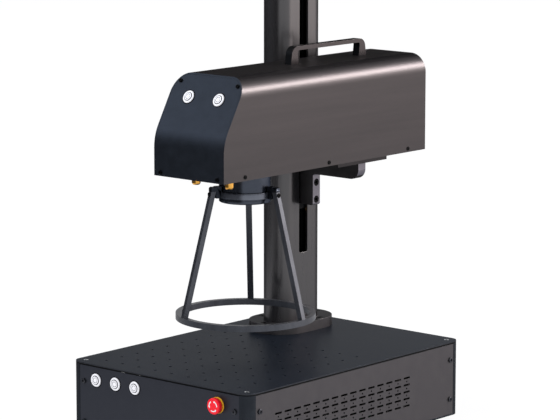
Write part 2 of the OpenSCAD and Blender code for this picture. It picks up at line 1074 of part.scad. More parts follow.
module column() {
    slot_top = col_h - slot_top_gap;
    color("#3b3a3b")
        difference() {
            translate([col_x, col_y, flange_t])
                linear_extrude(col_h - flange_t)
                    column_section();
            translate([col_x, col_y, (slot_z + slot_top) / 2])
                rotate([90, 0, 90])
                    linear_extrude(col_r + over)
                        round_rect(slot_w, slot_top - slot_z, slot_end_r);
        }
}

module guide_rods() {
    color("#c3c6c9")
        for (s = [-1, 1])
            translate([col_x, col_y + s * rod_off, flange_t])
                cylinder(d = rod_d, h = col_h - flange_t);
}

// Bores for the rods and the screw, shared by the blocks they pass through
module rod_bores(z, h, gap) {
    for (s = [-1, 1])
        translate([col_x, col_y + s * rod_off, z])
            cylinder(d = rod_d + 2 * gap, h = h);
}

module lower_bearing() {
    color("#a2a5a8")
        difference() {
            translate([col_x, col_y, flange_t])
                linear_extrude(bearing_h)
                    obround(col_r - col_wall - plug_gap, col_span);
            rod_bores(flange_t - over, bearing_h + 2 * over, fit_gap / 2);
            translate([col_x, col_y, flange_t + bearing_h / 2])
                cylinder(d = journal_d + 2 * journal_gap, h = bearing_h);
        }
}

module column_cap() {
    color("#26282b")
        difference() {
            union() {
                translate([col_x, col_y, col_h])
                    linear_extrude(cap_t)
                        obround(col_r + cap_lip, col_span);
                translate([col_x, col_y, col_h - plug_h])
                    linear_extrude(plug_h)
                        obround(col_r - col_wall - plug_gap, col_span);
            }
            rod_bores(col_h - plug_h - over, plug_h + over, fit_gap / 2);
            translate([col_x, col_y, col_h - plug_h - over])
                cylinder(d = journal_d + 2 * journal_gap, h = plug_h + cap_t + 2 * over);
        }
}

module lead_screw() {
    screw_z0 = flange_t + bearing_h + run_gap;
    screw_z1 = col_h - plug_h - run_gap;
    wheel_z = col_h + cap_t + wheel_lift;
    color("#b9bcbf")
        translate([col_x, col_y, 0]) {
            translate([0, 0, screw_z0])
                cylinder(d = screw_d, h = screw_z1 - screw_z0);
            translate([0, 0, flange_t + bearing_h / 2 + run_gap])
                cylinder(d = journal_d, h = bearing_h);
            translate([0, 0, screw_z1 - over])
                cylinder(d = journal_d, h = wheel_z + wheel_hub_h / 2 - screw_z1 + over);
        }
}

module handwheel() {
    wheel_z = col_h + cap_t + wheel_lift;
    color("#1f2123")
        translate([col_x, col_y, wheel_z])
            difference() {
                union() {
                    cylinder(d = wheel_hub_d, h = wheel_hub_h);
                    cylinder(d = wheel_d - wheel_rim_w, h = wheel_web_t);
                    rotate_extrude()
                        translate([wheel_d / 2 - wheel_rim_w / 2, wheel_rim_h / 2])
                            round_rect(wheel_rim_w, wheel_rim_h, wheel_rim_w / 4);
                }
                translate([0, 0, -over])
                    cylinder(d = journal_d + fit_gap / 2, h = wheel_hub_h / 2 + over);
                for (i = [0:wheel_hole_count - 1])
                    rotate([0, 0, (i + 1 / 2) * 360 / wheel_hole_count])
                        translate([(wheel_d / 2 - wheel_rim_w + wheel_hub_d / 2) / 2, 0, -over])
                            cylinder(d = wheel_hole_d, h = wheel_web_t + 2 * over);
            }
    color("#c3c6c9")
        translate([col_x - wheel_d / 2 + knob_inset, col_y, wheel_z])
            cylinder(d = knob_pin_d, h = wheel_rim_h + knob_l - knob_d / 2);
}

module crank_knob() {
    wheel_z = col_h + cap_t + wheel_lift;
    bore_l = knob_l - knob_d / 2;
    color("#161718")
        translate([col_x - wheel_d / 2 + knob_inset, col_y, wheel_z + wheel_rim_h + run_gap])
            rotate_extrude()
                polygon([[knob_pin_d / 2 + run_gap, 0], [knob_d * 2 / 5, 0], [knob_d / 2, knob_l / 3],
                    [knob_d / 2, knob_l * 4 / 5], [knob_d / 3, knob_l], [0, knob_l], [0, bore_l],
                    [knob_pin_d / 2 + run_gap, bore_l]]);
}

// Carriage, nut, bracket

module carriage() {
    carriage_z = head_z - plate_t - carriage_h + carriage_over;
    color("#8b8e91")
        difference() {
            translate([col_x, col_y, carriage_z])
                linear_extrude(carriage_h)
                    obround(col_r - col_wall - carriage_gap, col_span);
            rod_bores(carriage_z - over, carriage_h + 2 * over, run_gap);
            translate([col_x, col_y, carriage_z - over])
                cylinder(d = nut_d + fit_gap, h = carriage_h + 2 * over);
            bracket_screw_places()
                translate([0, 0, -bracket_screw_l - over])
                    cylinder(d = big_d + hole_gap, h = bracket_screw_l);
        }
}

module lift_nut() {
    carriage_z = head_z - plate_t - carriage_h + carriage_over;
    color("#c79a45")
        translate([col_x, col_y, 0])
            difference() {
                union() {
                    translate([0, 0, carriage_z - nut_flange_t])
                        cylinder(d = nut_flange_d, h = nut_flange_t);
                    translate([0, 0, carriage_z - nut_flange_t])
                        cylinder(d = nut_d, h = carriage_h / 2);
                }
                translate([0, 0, carriage_z - nut_flange_t - over])
                    cylinder(d = screw_d + 2 * run_gap, h = carriage_h);
            }
}

// Seats of the two screws that go through the bracket's leg into the carriage
module bracket_screw_places() {
    top = leg_z0 + bracket_screw_drop;
    for (z = [top, top + bracket_screw_pitch])
        translate([leg_x0 + leg_l - counterbore_h, col_y, z])
            rotate([0, 90, 0])
                children();
}

// Bracket's outline in X and Z: leg, arm with a round lower corner, hollow in the angle
module bracket_outline() {
    arm_top = head_z - plate_t;
    arm_z = arm_top - arm_h;
    difference() {
        union() {
            translate([leg_x0, leg_z0 + leg_end_r])
                square([leg_l, arm_top - leg_z0 - leg_end_r]);
            translate([leg_x0, leg_z0])
                square([leg_l - leg_end_r, 2 * leg_end_r]);
            translate([leg_x0 + leg_l - leg_end_r, leg_z0 + leg_end_r])
                circle(leg_end_r);
            translate([leg_x0, arm_z])
                square([arm_x1 - leg_x0 - arm_end_r, arm_h]);
            translate([leg_x0, arm_z + arm_end_r])
                square([arm_x1 - leg_x0, arm_h - arm_end_r]);
            intersection() {
                translate([arm_x1 - arm_end_r, arm_z + arm_end_r])
                    circle(arm_end_r);
                translate([arm_x1 - arm_end_r, arm_z])
                    square(arm_end_r);
            }
            translate([leg_x0 + leg_l, arm_z - leg_end_r])
                square(leg_end_r);
        }
        translate([leg_x0 + leg_l + leg_end_r, arm_z - leg_end_r])
            circle(leg_end_r);
    }
}

// Seats of the two screws that come up through the arm into the plate under the head
module arm_screw_places() {
    for (s = [-1, 1])
        translate([head_x + s * plate_screw_x / 2, col_y, head_z - plate_t - arm_h + counterbore_h])
            mirror([0, 0, 1])
                children();
}

module lift_bracket() {
    color("#3a3d42")
        difference() {
            translate([0, col_y + bracket_t / 2, 0])
                rotate([90, 0, 0])
                    linear_extrude(bracket_t)
                        bracket_outline();
            bracket_screw_places() {
                cylinder(d = counterbore_d, h = counterbore_h + over);
                translate([0, 0, -leg_l])
                    cylinder(d = big_d + hole_gap, h = leg_l + over);
            }
            arm_screw_places() {
                cylinder(d = counterbore_d, h = counterbore_h + over);
                translate([0, 0, -arm_h])
                    cylinder(d = big_d + hole_gap, h = arm_h + over);
            }
        }
}

// Marking head

module head_plate() {
    color("#777a7d")
        difference() {
            translate([head_x, col_y, head_z - plate_t])
                block(plate_w, plate_l, plate_t);
            for (sx = [-1, 1], sy = [-1, 1])
                translate([head_x + sx * plate_screw_x, col_y + sy * plate_screw_y,
                    head_z - plate_t - over]) {
                    cylinder(d = panel_head_d + hole_gap, h = plate_t / 2 + over);
                    cylinder(d = panel_screw_d + hole_gap, h = plate_t + 2 * over);
                }
            arm_screw_places()
                translate([0, 0, -arm_h - plate_t])
                    cylinder(d = big_d + hole_gap, h = arm_h + plate_t);
        }
}

// Head's outline seen from the front, upper edges rounded, grown inwards by an inset
module head_section(inset) {
    w = head_w - 2 * inset;
    r = head_r - inset;
    top = head_z + head_h - inset;
    translate([head_x, 0]) {
        translate([-w / 2, head_z])
            square([w, top - head_z - r]);
        translate([-w / 2 + r, head_z])
            square([w - 2 * r, top - head_z]);
        for (s = [-1, 1])
            translate([s * (w / 2 - r), top - r])
                circle(r);
    }
}

// Head's outline seen from the side: upright front, a bend, then the lean back to the top
function front_bend(inset) = let(
        run = front_bend_r * tan(front_lean / 2),
        cy = head_y0 + front_bend_r,
        cz = head_z + front_bend_z - run,
        r = front_bend_r - inset)
    [for (i = [0:bend_steps]) let(a = 180 - i * front_lean / bend_steps)
        [cy + r * cos(a), cz + r * sin(a)]];

module head_side(inset) {
    last = front_bend(inset)[bend_steps];
    rise = head_z + head_h + over - last[1];
    polygon(concat([[head_y0 + inset, head_z - over]], front_bend(inset),
        [[last[0] + rise * tan(front_lean), head_z + head_h + over],
            [head_y0 + head_l, head_z + head_h + over], [head_y0 + head_l, head_z - over]]));
}

// Solid of the head's outer form: both outlines at once
module head_form(section_inset, front_inset, rear_inset) {
    intersection() {
        translate([0, head_y0 + head_l - rear_inset, 0])
            rotate([90, 0, 0])
                linear_extrude(head_l - rear_inset)
                    head_section(section_inset);
        translate([head_x - head_w / 2 - over, 0, 0])
            rotate([90, 0, 90])
                linear_extrude(head_w + 2 * over)
                    head_side(front_inset);
    }
}

module head_cover() {
    color("#57524f")
        difference() {
            head_form(0, 0, 0);
            translate([0, head_y0 + head_l + over, 0])
                rotate([90, 0, 0])
                    linear_extrude(head_l + 2 * over)
                        head_section(head_t);
            translate([head_x - head_w / 2, head_y0 - over, head_z - over])
                translate([head_t, 0, 0])
                    cube([head_w - 2 * head_t, head_l + 2 * over, 2 * over]);
            head_screw_places()
                translate([0, 0, -head_t - over])
                    cylinder(d = small_d + hole_gap, h = head_t + 2 * over);
            handle_screw_places()
                translate([0, 0, -head_t - over])
                    cylinder(d = panel_screw_d + hole_gap, h = head_t + 2 * over);
        }
}

// Centre of a head button: on the leaning part of the front, normal outwards
module on_front(x, up) {
    translate([head_x + x, head_y0 + up * sin(front_lean),
        head_z + front_bend_z + up * cos(front_lean)])
        rotate([90 - front_lean, 0, 0])
            children();
}

module head_front() {
    color("#33373d")
        difference() {
            head_form(head_t + fit_gap, 0, 0);
            head_form(0, front_t, -over);
            for (s = [-1, 1])
                on_front(s * head_button_off, head_button_up)
                    translate([0, 0, -2 * front_t])
                        cylinder(d = button_hole_d + hole_gap, h = 4 * front_t);
            end_screw_places()
                translate([0, 0, -front_t - over])
                    cylinder(d = small_d + hole_gap, h = front_t + 2 * over);
        }
}

// Seats of the screws of the head's front and rear plates, four to a plate
module end_screw_places() {
    for (s = [-1, 1]) {
        on_front(s * front_screw_x, front_screw_up)
            children();
        translate([head_x + s * front_screw_x, head_y0, head_z + head_screw_z])
            rotate([90, 0, 0])
                children();
        for (z = [head_screw_z, head_h - head_r])
            translate([head_x + s * front_screw_x, head_y0 + head_l, head_z + z])
                rotate([-90, 0, 0])
                    children();
    }
}

module head_rear() {
    color("#33373d")
        difference() {
            intersection() {
                head_form(head_t + fit_gap, front_t, 0);
                translate([head_x, head_y0 + head_l - rear_t / 2, head_z])
                    block(head_w, rear_t, head_h);
            }
            end_screw_places()
                translate([0, 0, -rear_t - over])
                    cylinder(d = small_d + hole_gap, h = rear_t + 2 * over);
            head_gland_place()
                translate([0, 0, -rear_t - over])
                    cylinder(d = gland_thread_d + hole_gap, h = rear_t + 2 * over);
        }
}

module head_floor() {
    y0 = head_y0 + front_t + fit_gap;
    y1 = head_y0 + head_l - rear_t - fit_gap;
    color("#8b8e91")
        difference() {
            translate([head_x, (y0 + y1) / 2, head_z])
                block(head_w - 2 * head_t - 2 * fit_gap, y1 - y0, floor_h);
            translate([head_x, lens_y, head_z - over])
                cylinder(d = lens_bore_d, h = floor_h + 2 * over);
            for (s = [-1, 1])
                translate([head_x + s * pointer_x, pointer_y, head_z - over])
                    cylinder(d = pointer_d + fit_gap, h = floor_h + 2 * over);
            for (sx = [-1, 1], sy = [-1, 1])
                translate([head_x + sx * plate_screw_x, col_y + sy * plate_screw_y, head_z - over])
                    cylinder(d = panel_screw_d + hole_gap, h = floor_h + 2 * over);
            head_screw_places()
                translate([0, 0, -head_t - panel_screw_l])
                    cylinder(d = small_d + hole_gap, h = panel_screw_l + over);
            end_screw_places()
                translate([0, 0, -end_screw_l - over])
                    cylinder(d = small_d + hole_gap, h = end_screw_l);
        }
}

// Seats of the three small screws low on each side of the head
module head_screw_places() {
    for (side = [-1, 1], y = head_screw_ys)
        translate([head_x + side * head_w / 2, head_y0 + y, head_z + head_screw_z])
            rotate([0, side * 90, 0])
                children();
}

// Screws of the head: housing sides and ends, mounting plate, bracket, and handle
module head_screws() {
    color("#1b1c1e") {
        head_screw_places()
            screw(small_d, panel_screw_l, small_head_d, small_head_h / 2);
        end_screw_places()
            screw(small_d, end_screw_l, small_head_d, small_head_h);
        bracket_screw_places()
            screw(big_d, bracket_screw_l, big_head_d, counterbore_h - fit_gap);
        arm_screw_places()
            screw(big_d, arm_h - counterbore_h + plate_t, big_head_d, counterbore_h - fit_gap);
        for (sx = [-1, 1], sy = [-1, 1])
            translate([head_x + sx * plate_screw_x, col_y + sy * plate_screw_y,
                head_z - plate_t / 2])
                mirror([0, 0, 1])
                    screw(panel_screw_d, plate_t / 2 + floor_h, panel_head_d, panel_head_h);
    }
    color("#8d9094")
        handle_screw_places()
            translate([0, 0, -head_t])
                mirror([0, 0, 1])
                    screw(panel_screw_d, handle_screw_l / 2 + head_t, panel_head_d, panel_head_h);
}

// Seats of the handle's two screws, under the housing's top, heads down
module handle_screw_places() {
    for (s = [-1, 1])
        translate([head_x, handle_y + s * (handle_l - handle_leg_l) / 2, head_z + head_h])
            children();
}

// Bar bent over two feet, as points in Y and Z: half length at the feet, lean, height, corner radius
function bent_bar(half, lean, height, r) = let(
        cx = half - lean - r,
        arc = [for (i = [0:bend_steps]) 90 * i / bend_steps])
    concat([[half, 0]], [for (a = arc) [cx + r * cos(a), height - r + r * sin(a)]],
        [for (a = arc) [-cx - r * sin(a), height - r + r * cos(a)]], [[-half, 0]]);

module handle_outline() {
    lean = (handle_leg_l - handle_leg_top) / 2;
    difference() {
        polygon(bent_bar(handle_l / 2, lean, handle_h, handle_r));
        translate([0, -over])
            square([handle_l - 2 * handle_leg_l, 2 * over + over], center = true);
        polygon(bent_bar(handle_l / 2 - handle_leg_l, -lean, handle_h - handle_bar_t,
            handle_inner_r));
    }
}

module carry_handle() {
    color("#4a4643")
        difference() {
            translate([head_x - handle_w / 2, handle_y, head_z + head_h])
                rotate([90, 0, 90])
                    linear_extrude(handle_w)
                        handle_outline();
            handle_screw_places()
                translate([0, 0, -over])
                    cylinder(d = panel_screw_d + hole_gap, h = handle_screw_l / 2 + over + fit_gap);
        }
}

module head_bezels() {
    color("#c9cbce")
        for (s = [-1, 1])
            on_front(s * head_button_off, head_button_up)
                bezel();
}

module head_button_left() {
    color("#e3e4e6")
        on_front(-head_button_off, head_button_up)
            cap();
}

module head_button_right() {
    color("#e3e4e6")
        on_front(head_button_off, head_button_up)
            cap();
}

// Optics: a hollow block with two motors, two mirrors, and the beam expander behind it

module galvo_block() {
    z0 = head_z + floor_h;
    color("#6f7377")
        difference() {
            union() {
                translate([block_x, lens_y, z0])
                    block(block_w, block_d, block_h);
                translate([head_x + mirror_x_off, lens_y, z0 + block_h])
                    cylinder(d = galvo_d + over, h = galvo_l / 2);
                translate([head_x, lens_y - block_d / 2, z0 + mirror_z])
                    rotate([90, 0, 0])
                        cylinder(d = galvo_d + over, h = galvo_l);
            }
            translate([block_x, lens_y, z0 + (block_h - cavity_h) / 2])
                block(cavity_w, cavity_d, cavity_h);
            translate([head_x, lens_y, z0 - over])
                cylinder(d = cavity_d * 3 / 4, h = block_h / 2);
            translate([head_x + mirror_x_off, lens_y, z0 + mirror_z])
                cylinder(d = shaft_d + 2 * run_gap, h = block_h);
            translate([head_x, lens_y, z0 + mirror_z])
                rotate([90, 0, 0])
                    cylinder(d = shaft_d + 2 * run_gap, h = block_d);
            translate([head_x + mirror_x_off, lens_y, z0 + mirror_z])
                rotate([-90, 0, 0])
                    cylinder(d = expander_d / 2, h = block_d);
        }
}

// Mirror on its motor's shaft: the shaft along +Z, the glass standing round it
module scan_mirror(turn, reach) {
    rotate([0, 0, turn])
        translate([-mirror_t / 2, -mirror_w / 2, -mirror_l / 2])
            cube([mirror_t, mirror_w, mirror_l]);
    translate([0, 0, mirror_l / 2 - shaft_d])
        cylinder(d = shaft_d, h = reach - mirror_l / 2 + shaft_d);
}

module mirror_x() {
    color("#d8dadd")
        translate([head_x + mirror_x_off, lens_y, head_z + floor_h + mirror_z])
            scan_mirror(-45, block_h - mirror_z + galvo_l / 2 + shaft_d);
}

module mirror_y() {
    color("#d8dadd")
        translate([head_x, lens_y, head_z + floor_h + mirror_z])
            rotate([90, 0, 0])
                scan_mirror(-45, block_d / 2 + galvo_l + shaft_d);
}

module beam_expander() {
    z0 = head_z + floor_h;
    y0 = lens_y + block_d / 2;
    color("#44474b") {
        translate([head_x + mirror_x_off, y0, z0 + mirror_z])
            rotate([-90, 0, 0])
                difference() {
                    union() {
                        cylinder(d = expander_d, h = expander_l);
                        for (k = [1:3])
                            translate([0, 0, k * expander_l / 4])
                                cylinder(d = expander_end_d, h = expander_ring_l);
                    }
                    translate([0, 0, -over])
                        cylinder(d = expander_d / 2, h = expander_l / 2);
                }
        for (k = [1, 3])
            translate([head_x + mirror_x_off - saddle_w / 4, y0 + k * expander_l / 4 + expander_ring_l,
                z0])
                cube([saddle_w / 2, saddle_t, mirror_z - expander_d / 2 + over]);
    }
}

module laser_pointers() {
    color("#d9a441")
        for (s = [-1, 1])
            translate([head_x + s * pointer_x, pointer_y, head_z - pointer_drop])
                rotate_extrude()
                    polygon([[0, 0], [pointer_tip_d / 2, 0], [pointer_d / 2, pointer_tip_l],
                        [pointer_d / 2, pointer_l], [0, pointer_l]]);
}

module lens_barrel() {
    r = lens_d / 2;
    groove_z = lens_l - adapter_l;
    color("#3d4046")
        translate([head_x, lens_y, head_z - lens_l])
            rotate_extrude()
                polygon([[lens_glass_d / 2 - lens_step, 0], [r - lens_step, 0], [r, lens_step],
                    [r, groove_z - lens_groove], [r - lens_groove, groove_z - lens_groove],
                    [r - lens_groove, groove_z], [r, groove_z], [r, lens_l],
                    [lens_bore_d / 2, lens_l],
                    [lens_bore_d / 2, lens_glass_rise + lens_glass_t],
                    [lens_glass_d / 2, lens_glass_rise + lens_glass_t],
                    [lens_glass_d / 2, lens_glass_rise],
                    [lens_glass_d / 2 - lens_step, lens_glass_rise]]);
}

module lens_glass() {
    color("#9db4c4")
        translate([head_x, lens_y, head_z - lens_l + lens_glass_rise])
            cylinder(d = lens_glass_d - fit_gap, h = lens_glass_t);
}

// Guard: split collar with three lugs, the frame of legs and ring, and its screws

function guard_foot_r() = (ring_d - ring_t) / 2;

function guard_foot_z() = ring_z + ring_h - over;

module guard_places() {
    for (i = [0:guard_legs - 1])
        translate([head_x, lens_y, 0])
            rotate([0, 0, guard_angle + i * 360 / guard_legs])
                children();
}

// Lug at +X of the lens axis: an upright block on the collar and a top that covers the leg's end
module guard_lug() {
    inner = lens_d / 2 + collar_gap + collar_t / 2;
    face_r = guard_top_r - guard_leg_t / 2;
    tip_r = guard_top_r + guard_leg_t / 2;
    rotate([90, 0, 0])
        translate([0, 0, -lug_w / 2])
            linear_extrude(lug_w) {
                translate([inner, collar_z])
                    square([face_r - inner, lug_h]);
                translate([inner, guard_leg_top])
                    square([tip_r - lug_tip_r - inner, lug_top_t]);
                translate([inner, guard_leg_top])
                    square([tip_r - inner, lug_top_t - lug_tip_r]);
                translate([tip_r - lug_tip_r, guard_leg_top + lug_top_t - lug_tip_r])
                    circle(lug_tip_r);
            }
}

module guard_collar() {
    inner = lens_d / 2 + collar_gap;
    outer = inner + collar_t;
    color("#55575d")
        difference() {
            union() {
                translate([head_x, lens_y, collar_z]) {
                    cylinder(r = outer, h = collar_h);
                    rotate([0, 0, clamp_angle])
                        translate([inner, -clamp_block, 0])
                            cube([clamp_block, 2 * clamp_block, collar_h]);
                }
                guard_places()
                    guard_lug();
            }
            translate([head_x, lens_y, collar_z - over])
                cylinder(r = inner, h = lens_l);
            translate([head_x, lens_y, collar_z - over])
                rotate([0, 0, clamp_angle])
                    translate([0, -over / 2, 0])
                        cube([outer + clamp_block, over, collar_h + 2 * over]);
            guard_screw_places()
                translate([0, 0, -guard_screw_l - over])
                    cylinder(d = guard_screw_d + hole_gap, h = guard_screw_l + over);
            clamp_screw_place()
                translate([0, 0, -clamp_screw_l - over])
                    cylinder(d = clamp_screw_d + hole_gap, h = clamp_screw_l + 2 * over);
        }
}

// Seat of the clamp screw on the side of the collar's block
module clamp_screw_place() {
    translate([head_x, lens_y, collar_z + collar_h / 2])
        rotate([0, 0, clamp_angle])
            translate([lens_d / 2 + collar_gap + collar_t + (clamp_block - collar_t) / 2, clamp_block, 0])
                rotate([-90, 0, 0])
                    children();
}

// Leg at +X of the lens axis, square, leaning out from the lug to the ring's top, and let into it
module guard_leg() {
    foot_r = guard_foot_r();
    half = guard_leg_t / 2;
    translate([0, guard_leg_w / 2, 0])
        rotate([90, 0, 0])
            linear_extrude(guard_leg_w)
                polygon([[guard_top_r - half, guard_leg_top], [guard_top_r + half, guard_leg_top],
                    [foot_r + half, guard_foot_z()], [foot_r - half, guard_foot_z()]]);
}

module guard_frame() {
    color("#5c5e66")
        difference() {
            union() {
                translate([head_x, lens_y, ring_z])
                    difference() {
                        cylinder(d = ring_d, h = ring_h, $fn = 96);
                        translate([0, 0, -over])
                            cylinder(r = ring_d / 2 - ring_t, h = ring_h + 2 * over, $fn = 96);
                    }
                guard_places()
                    guard_leg();
            }
            guard_screw_places() {
                translate([0, 0, -guard_leg_t - over])
                    cylinder(d = guard_screw_d + hole_gap, h = 2 * guard_leg_t);
                cylinder(d = guard_screw_head + hole_gap, h = guard_leg_t);
            }
        }
}

// Seats of the three screws through the tops of the legs into the lugs, heads outwards
module guard_screw_places() {
    drop = guard_leg_top - guard_screw_z;
    lean = (guard_foot_r() - guard_top_r) / (guard_leg_top - guard_foot_z());
    guard_places()
        translate([guard_top_r + guard_leg_t / 2 + drop * lean, 0, guard_screw_z])
            rotate([0, 90, 0])
                children();
}

module guard_screws() {
    color("#1b1c1e") {
        guard_screw_places()
            screw(guard_screw_d, guard_screw_l, guard_screw_head, guard_screw_head_h);
        clamp_screw_place()
            screw(clamp_screw_d, clamp_screw_l, guard_screw_head, guard_screw_head_h);
    }
}

bottom_plate();
feet();
corner_posts();
front_panel();
rear_panel();
left_panel();
right_panel();
worktable();
cabinet_screws();
column_base_plate();
laser_source();
power_supply();
control_board();
fan_frame();
fan_rotor();
power_inlet();
switch_frame();
power_rocker();
pedal_socket();
cabinet_gland();
button_bezels();
button_1();
button_2();
button_3();
estop_collar();
estop_stem();
estop_head();
column_flange();
flange_screws();
column();
guide_rods();
lower_bearing();
column_cap();
lead_screw();
handwheel();
crank_knob();
carriage();
lift_nut();
lift_bracket();
head_plate();
head_floor();
head_cover();
head_front();
head_rear();
head_screws();
carry_handle();
head_gland();
head_bezels();
head_button_left();
head_button_right();
galvo_block();
mirror_x();
mirror_y();
beam_expander();
laser_pointers();
lens_barrel();
lens_glass();
guard_collar();
guard_frame();
guard_screws();
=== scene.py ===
# %% [markdown]
# # A bench laser marking machine, dressed for its portrait
#
# The machine is a dark cabinet with a drilled worktable, a slotted column with a handwheel on top, and
# a marking head that an angle bracket carries. A three-legged guard hangs round the lens. The shapes
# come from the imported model. This script adds what a camera sees on top of that: broken edges, real
# screws and threads, lens coatings, and the finish of every sheet, rod and knob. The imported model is
# loaded first, because every place and size below is read from it.

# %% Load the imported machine
import json
import math
from functools import partial
import bmesh
import bpy
from mathutils import Matrix, Vector

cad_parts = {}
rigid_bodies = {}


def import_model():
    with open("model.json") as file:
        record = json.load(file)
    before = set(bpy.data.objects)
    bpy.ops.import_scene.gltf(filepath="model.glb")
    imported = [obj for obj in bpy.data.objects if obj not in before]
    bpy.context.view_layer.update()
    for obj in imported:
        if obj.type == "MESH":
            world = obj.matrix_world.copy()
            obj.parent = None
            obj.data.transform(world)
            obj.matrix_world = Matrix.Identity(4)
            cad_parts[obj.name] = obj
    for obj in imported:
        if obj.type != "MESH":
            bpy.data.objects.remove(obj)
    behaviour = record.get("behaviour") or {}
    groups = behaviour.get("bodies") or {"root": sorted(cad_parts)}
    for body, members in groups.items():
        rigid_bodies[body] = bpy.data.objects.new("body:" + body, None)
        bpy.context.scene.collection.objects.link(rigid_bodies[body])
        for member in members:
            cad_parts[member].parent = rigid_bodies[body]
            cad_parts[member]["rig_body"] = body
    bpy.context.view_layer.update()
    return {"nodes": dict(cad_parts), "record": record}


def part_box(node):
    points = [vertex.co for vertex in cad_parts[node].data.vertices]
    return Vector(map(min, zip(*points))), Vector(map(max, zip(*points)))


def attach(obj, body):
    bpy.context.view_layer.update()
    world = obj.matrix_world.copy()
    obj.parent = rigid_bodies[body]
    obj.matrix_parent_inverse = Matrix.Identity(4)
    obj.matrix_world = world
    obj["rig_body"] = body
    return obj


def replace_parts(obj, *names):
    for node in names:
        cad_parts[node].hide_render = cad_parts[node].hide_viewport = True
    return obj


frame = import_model()
MM = 0.001

# %% [markdown]
# ## The camera
#
# The photograph was taken with a long lens from the front right, a little above the table, so upright
# edges stay nearly upright. The place was solved from the cabinet's edges and the grid of holes. It is
# given as a turn, a tilt and a tiny roll, which are easier to read than a matrix. No cord leaves the
# machine in the photograph, so there is none here: its glands and its inlet stay empty.

# %% Place the camera
CAMERA_PLACE = (2.5027, -2.8879, 0.8404)
CAMERA_TURN = 40.694
CAMERA_TILT = 9.595
CAMERA_ROLL = 0.0755
LENS_MM = 182.7
SENSOR_MM = 36
FAR_CLIP = 50


def linked(name, data):
    """An object of that name in the scene, round a mesh, a lamp or a camera."""
    made = bpy.data.objects.new(name, data)
    bpy.context.scene.collection.objects.link(made)
    return made


camera_data = bpy.data.cameras.new("camera")
camera_data.lens = LENS_MM
camera_data.sensor_width = SENSOR_MM
camera_data.clip_end = FAR_CLIP
camera = linked("camera", camera_data)
camera.matrix_world = (
    Matrix.Translation(CAMERA_PLACE)
    @ Matrix.Rotation(math.radians(CAMERA_TURN), 4, "Z")
    @ Matrix.Rotation(math.radians(90 - CAMERA_TILT), 4, "X")
    @ Matrix.Rotation(math.radians(CAMERA_ROLL), 4, "Z")
)
bpy.context.scene.camera = camera
bpy.context.scene.view_settings.view_transform = "Standard"
print(f"camera {Vector(CAMERA_PLACE).length:.2f} m from the table's centre")

# %% [markdown]
# ## Two helpers for node trees
#
# Colours are written as sRGB hex, as a paint chart gives them, but shaders work in linear light, so one
# function turns one into the other. Shader trees, light trees and geometry trees are all built by the
# same small function: it adds a node, sets its settings, and either fills or links its sockets.

# %% Colour and node helpers
def lin(code):
    """An sRGB hex colour as linear red, green, blue and alpha."""
    parts = [int(code[i:i + 2], 16) / 255 for i in (1, 3, 5)]
    return [c / 12.92 if c <= 0.04045 else ((c + 0.055) / 1.055) ** 2.4 for c in parts] + [1]


def add(tree, kind, settings=None, inputs=None):
    """A node with its settings, and with its inputs filled by values or linked to other nodes' sockets."""
    node = tree.nodes.new(kind)
    for name, value in (settings or {}).items():
        setattr(node, name, value)
    for key, value in (inputs or {}).items():
        if isinstance(value, bpy.types.NodeSocket):
            tree.links.new(value, node.inputs[key])
        else:
            node.inputs[key].default_value = value
    return node


print("a mid grey in linear light:", [round(c, 3) for c in lin("#808080")])

# %% [markdown]
# ## Studio
#
# The machine stands on a white floor in a white room. A camera ray that misses it must come back pure
# white, and polished parts should mirror that white, so the world shows strength 1 to camera, glossy
# and transmission rays. Diffuse light is set apart at a plain level, so that no colour washes out. The
# floor keeps a share of its shading, because without the shadow the machine would float.

# %% World and floor
WHITE = (1, 1, 1, 1)
DIFFUSE_LEVEL = 0.74
FLOOR_GLOW = 0.86
FLOOR_WHITE = 1.07
FLOOR_SIZE = 30


def seen_ray(tree):
    """1 for camera, glossy and transmission rays, and 0 for diffuse ones."""
    path = add(tree, "ShaderNodeLightPath")
    mirror_or_glass = add(tree, "ShaderNodeMath", {"operation": "MAXIMUM"}, {
        0: path.outputs["Is Glossy Ray"], 1: path.outputs["Is Transmission Ray"]})
    return add(tree, "ShaderNodeMath", {"operation": "MAXIMUM"}, {
        0: path.outputs["Is Camera Ray"], 1: mirror_or_glass.outputs[0]}).outputs[0]


def emptied(holder):
    """The shader tree of a world or a material, switched on and cleared."""
    holder.use_nodes = True
    holder.node_tree.nodes.clear()
    return holder.node_tree


bpy.context.scene.world = bpy.data.worlds.new("white_room")
tree = emptied(bpy.context.scene.world)
room_light = add(tree, "ShaderNodeBackground", inputs={"Color": lin("#f4f6ff"), "Strength": DIFFUSE_LEVEL})
room_white = add(tree, "ShaderNodeBackground", inputs={"Color": WHITE, "Strength": 1})
room = add(tree, "ShaderNodeMixShader", inputs={
    0: seen_ray(tree), 1: room_light.outputs[0], 2: room_white.outputs[0]})
add(tree, "ShaderNodeOutputWorld", inputs={0: room.outputs[0]})

floor_paint = bpy.data.materials.new("matt_white_floor")
tree = emptied(floor_paint)
paper = add(tree, "ShaderNodeBsdfDiffuse", inputs={"Color": lin("#f2f2f2")})
glow = add(tree, "ShaderNodeEmission", inputs={"Color": WHITE, "Strength": FLOOR_WHITE})
share = add(tree, "ShaderNodeMath", {"operation": "MULTIPLY"}, {0: seen_ray(tree), 1: FLOOR_GLOW})
surface = add(tree, "ShaderNodeMixShader", inputs={
    0: share.outputs[0], 1: paper.outputs[0], 2: glow.outputs[0]})
add(tree, "ShaderNodeOutputMaterial", inputs={0: surface.outputs[0]})

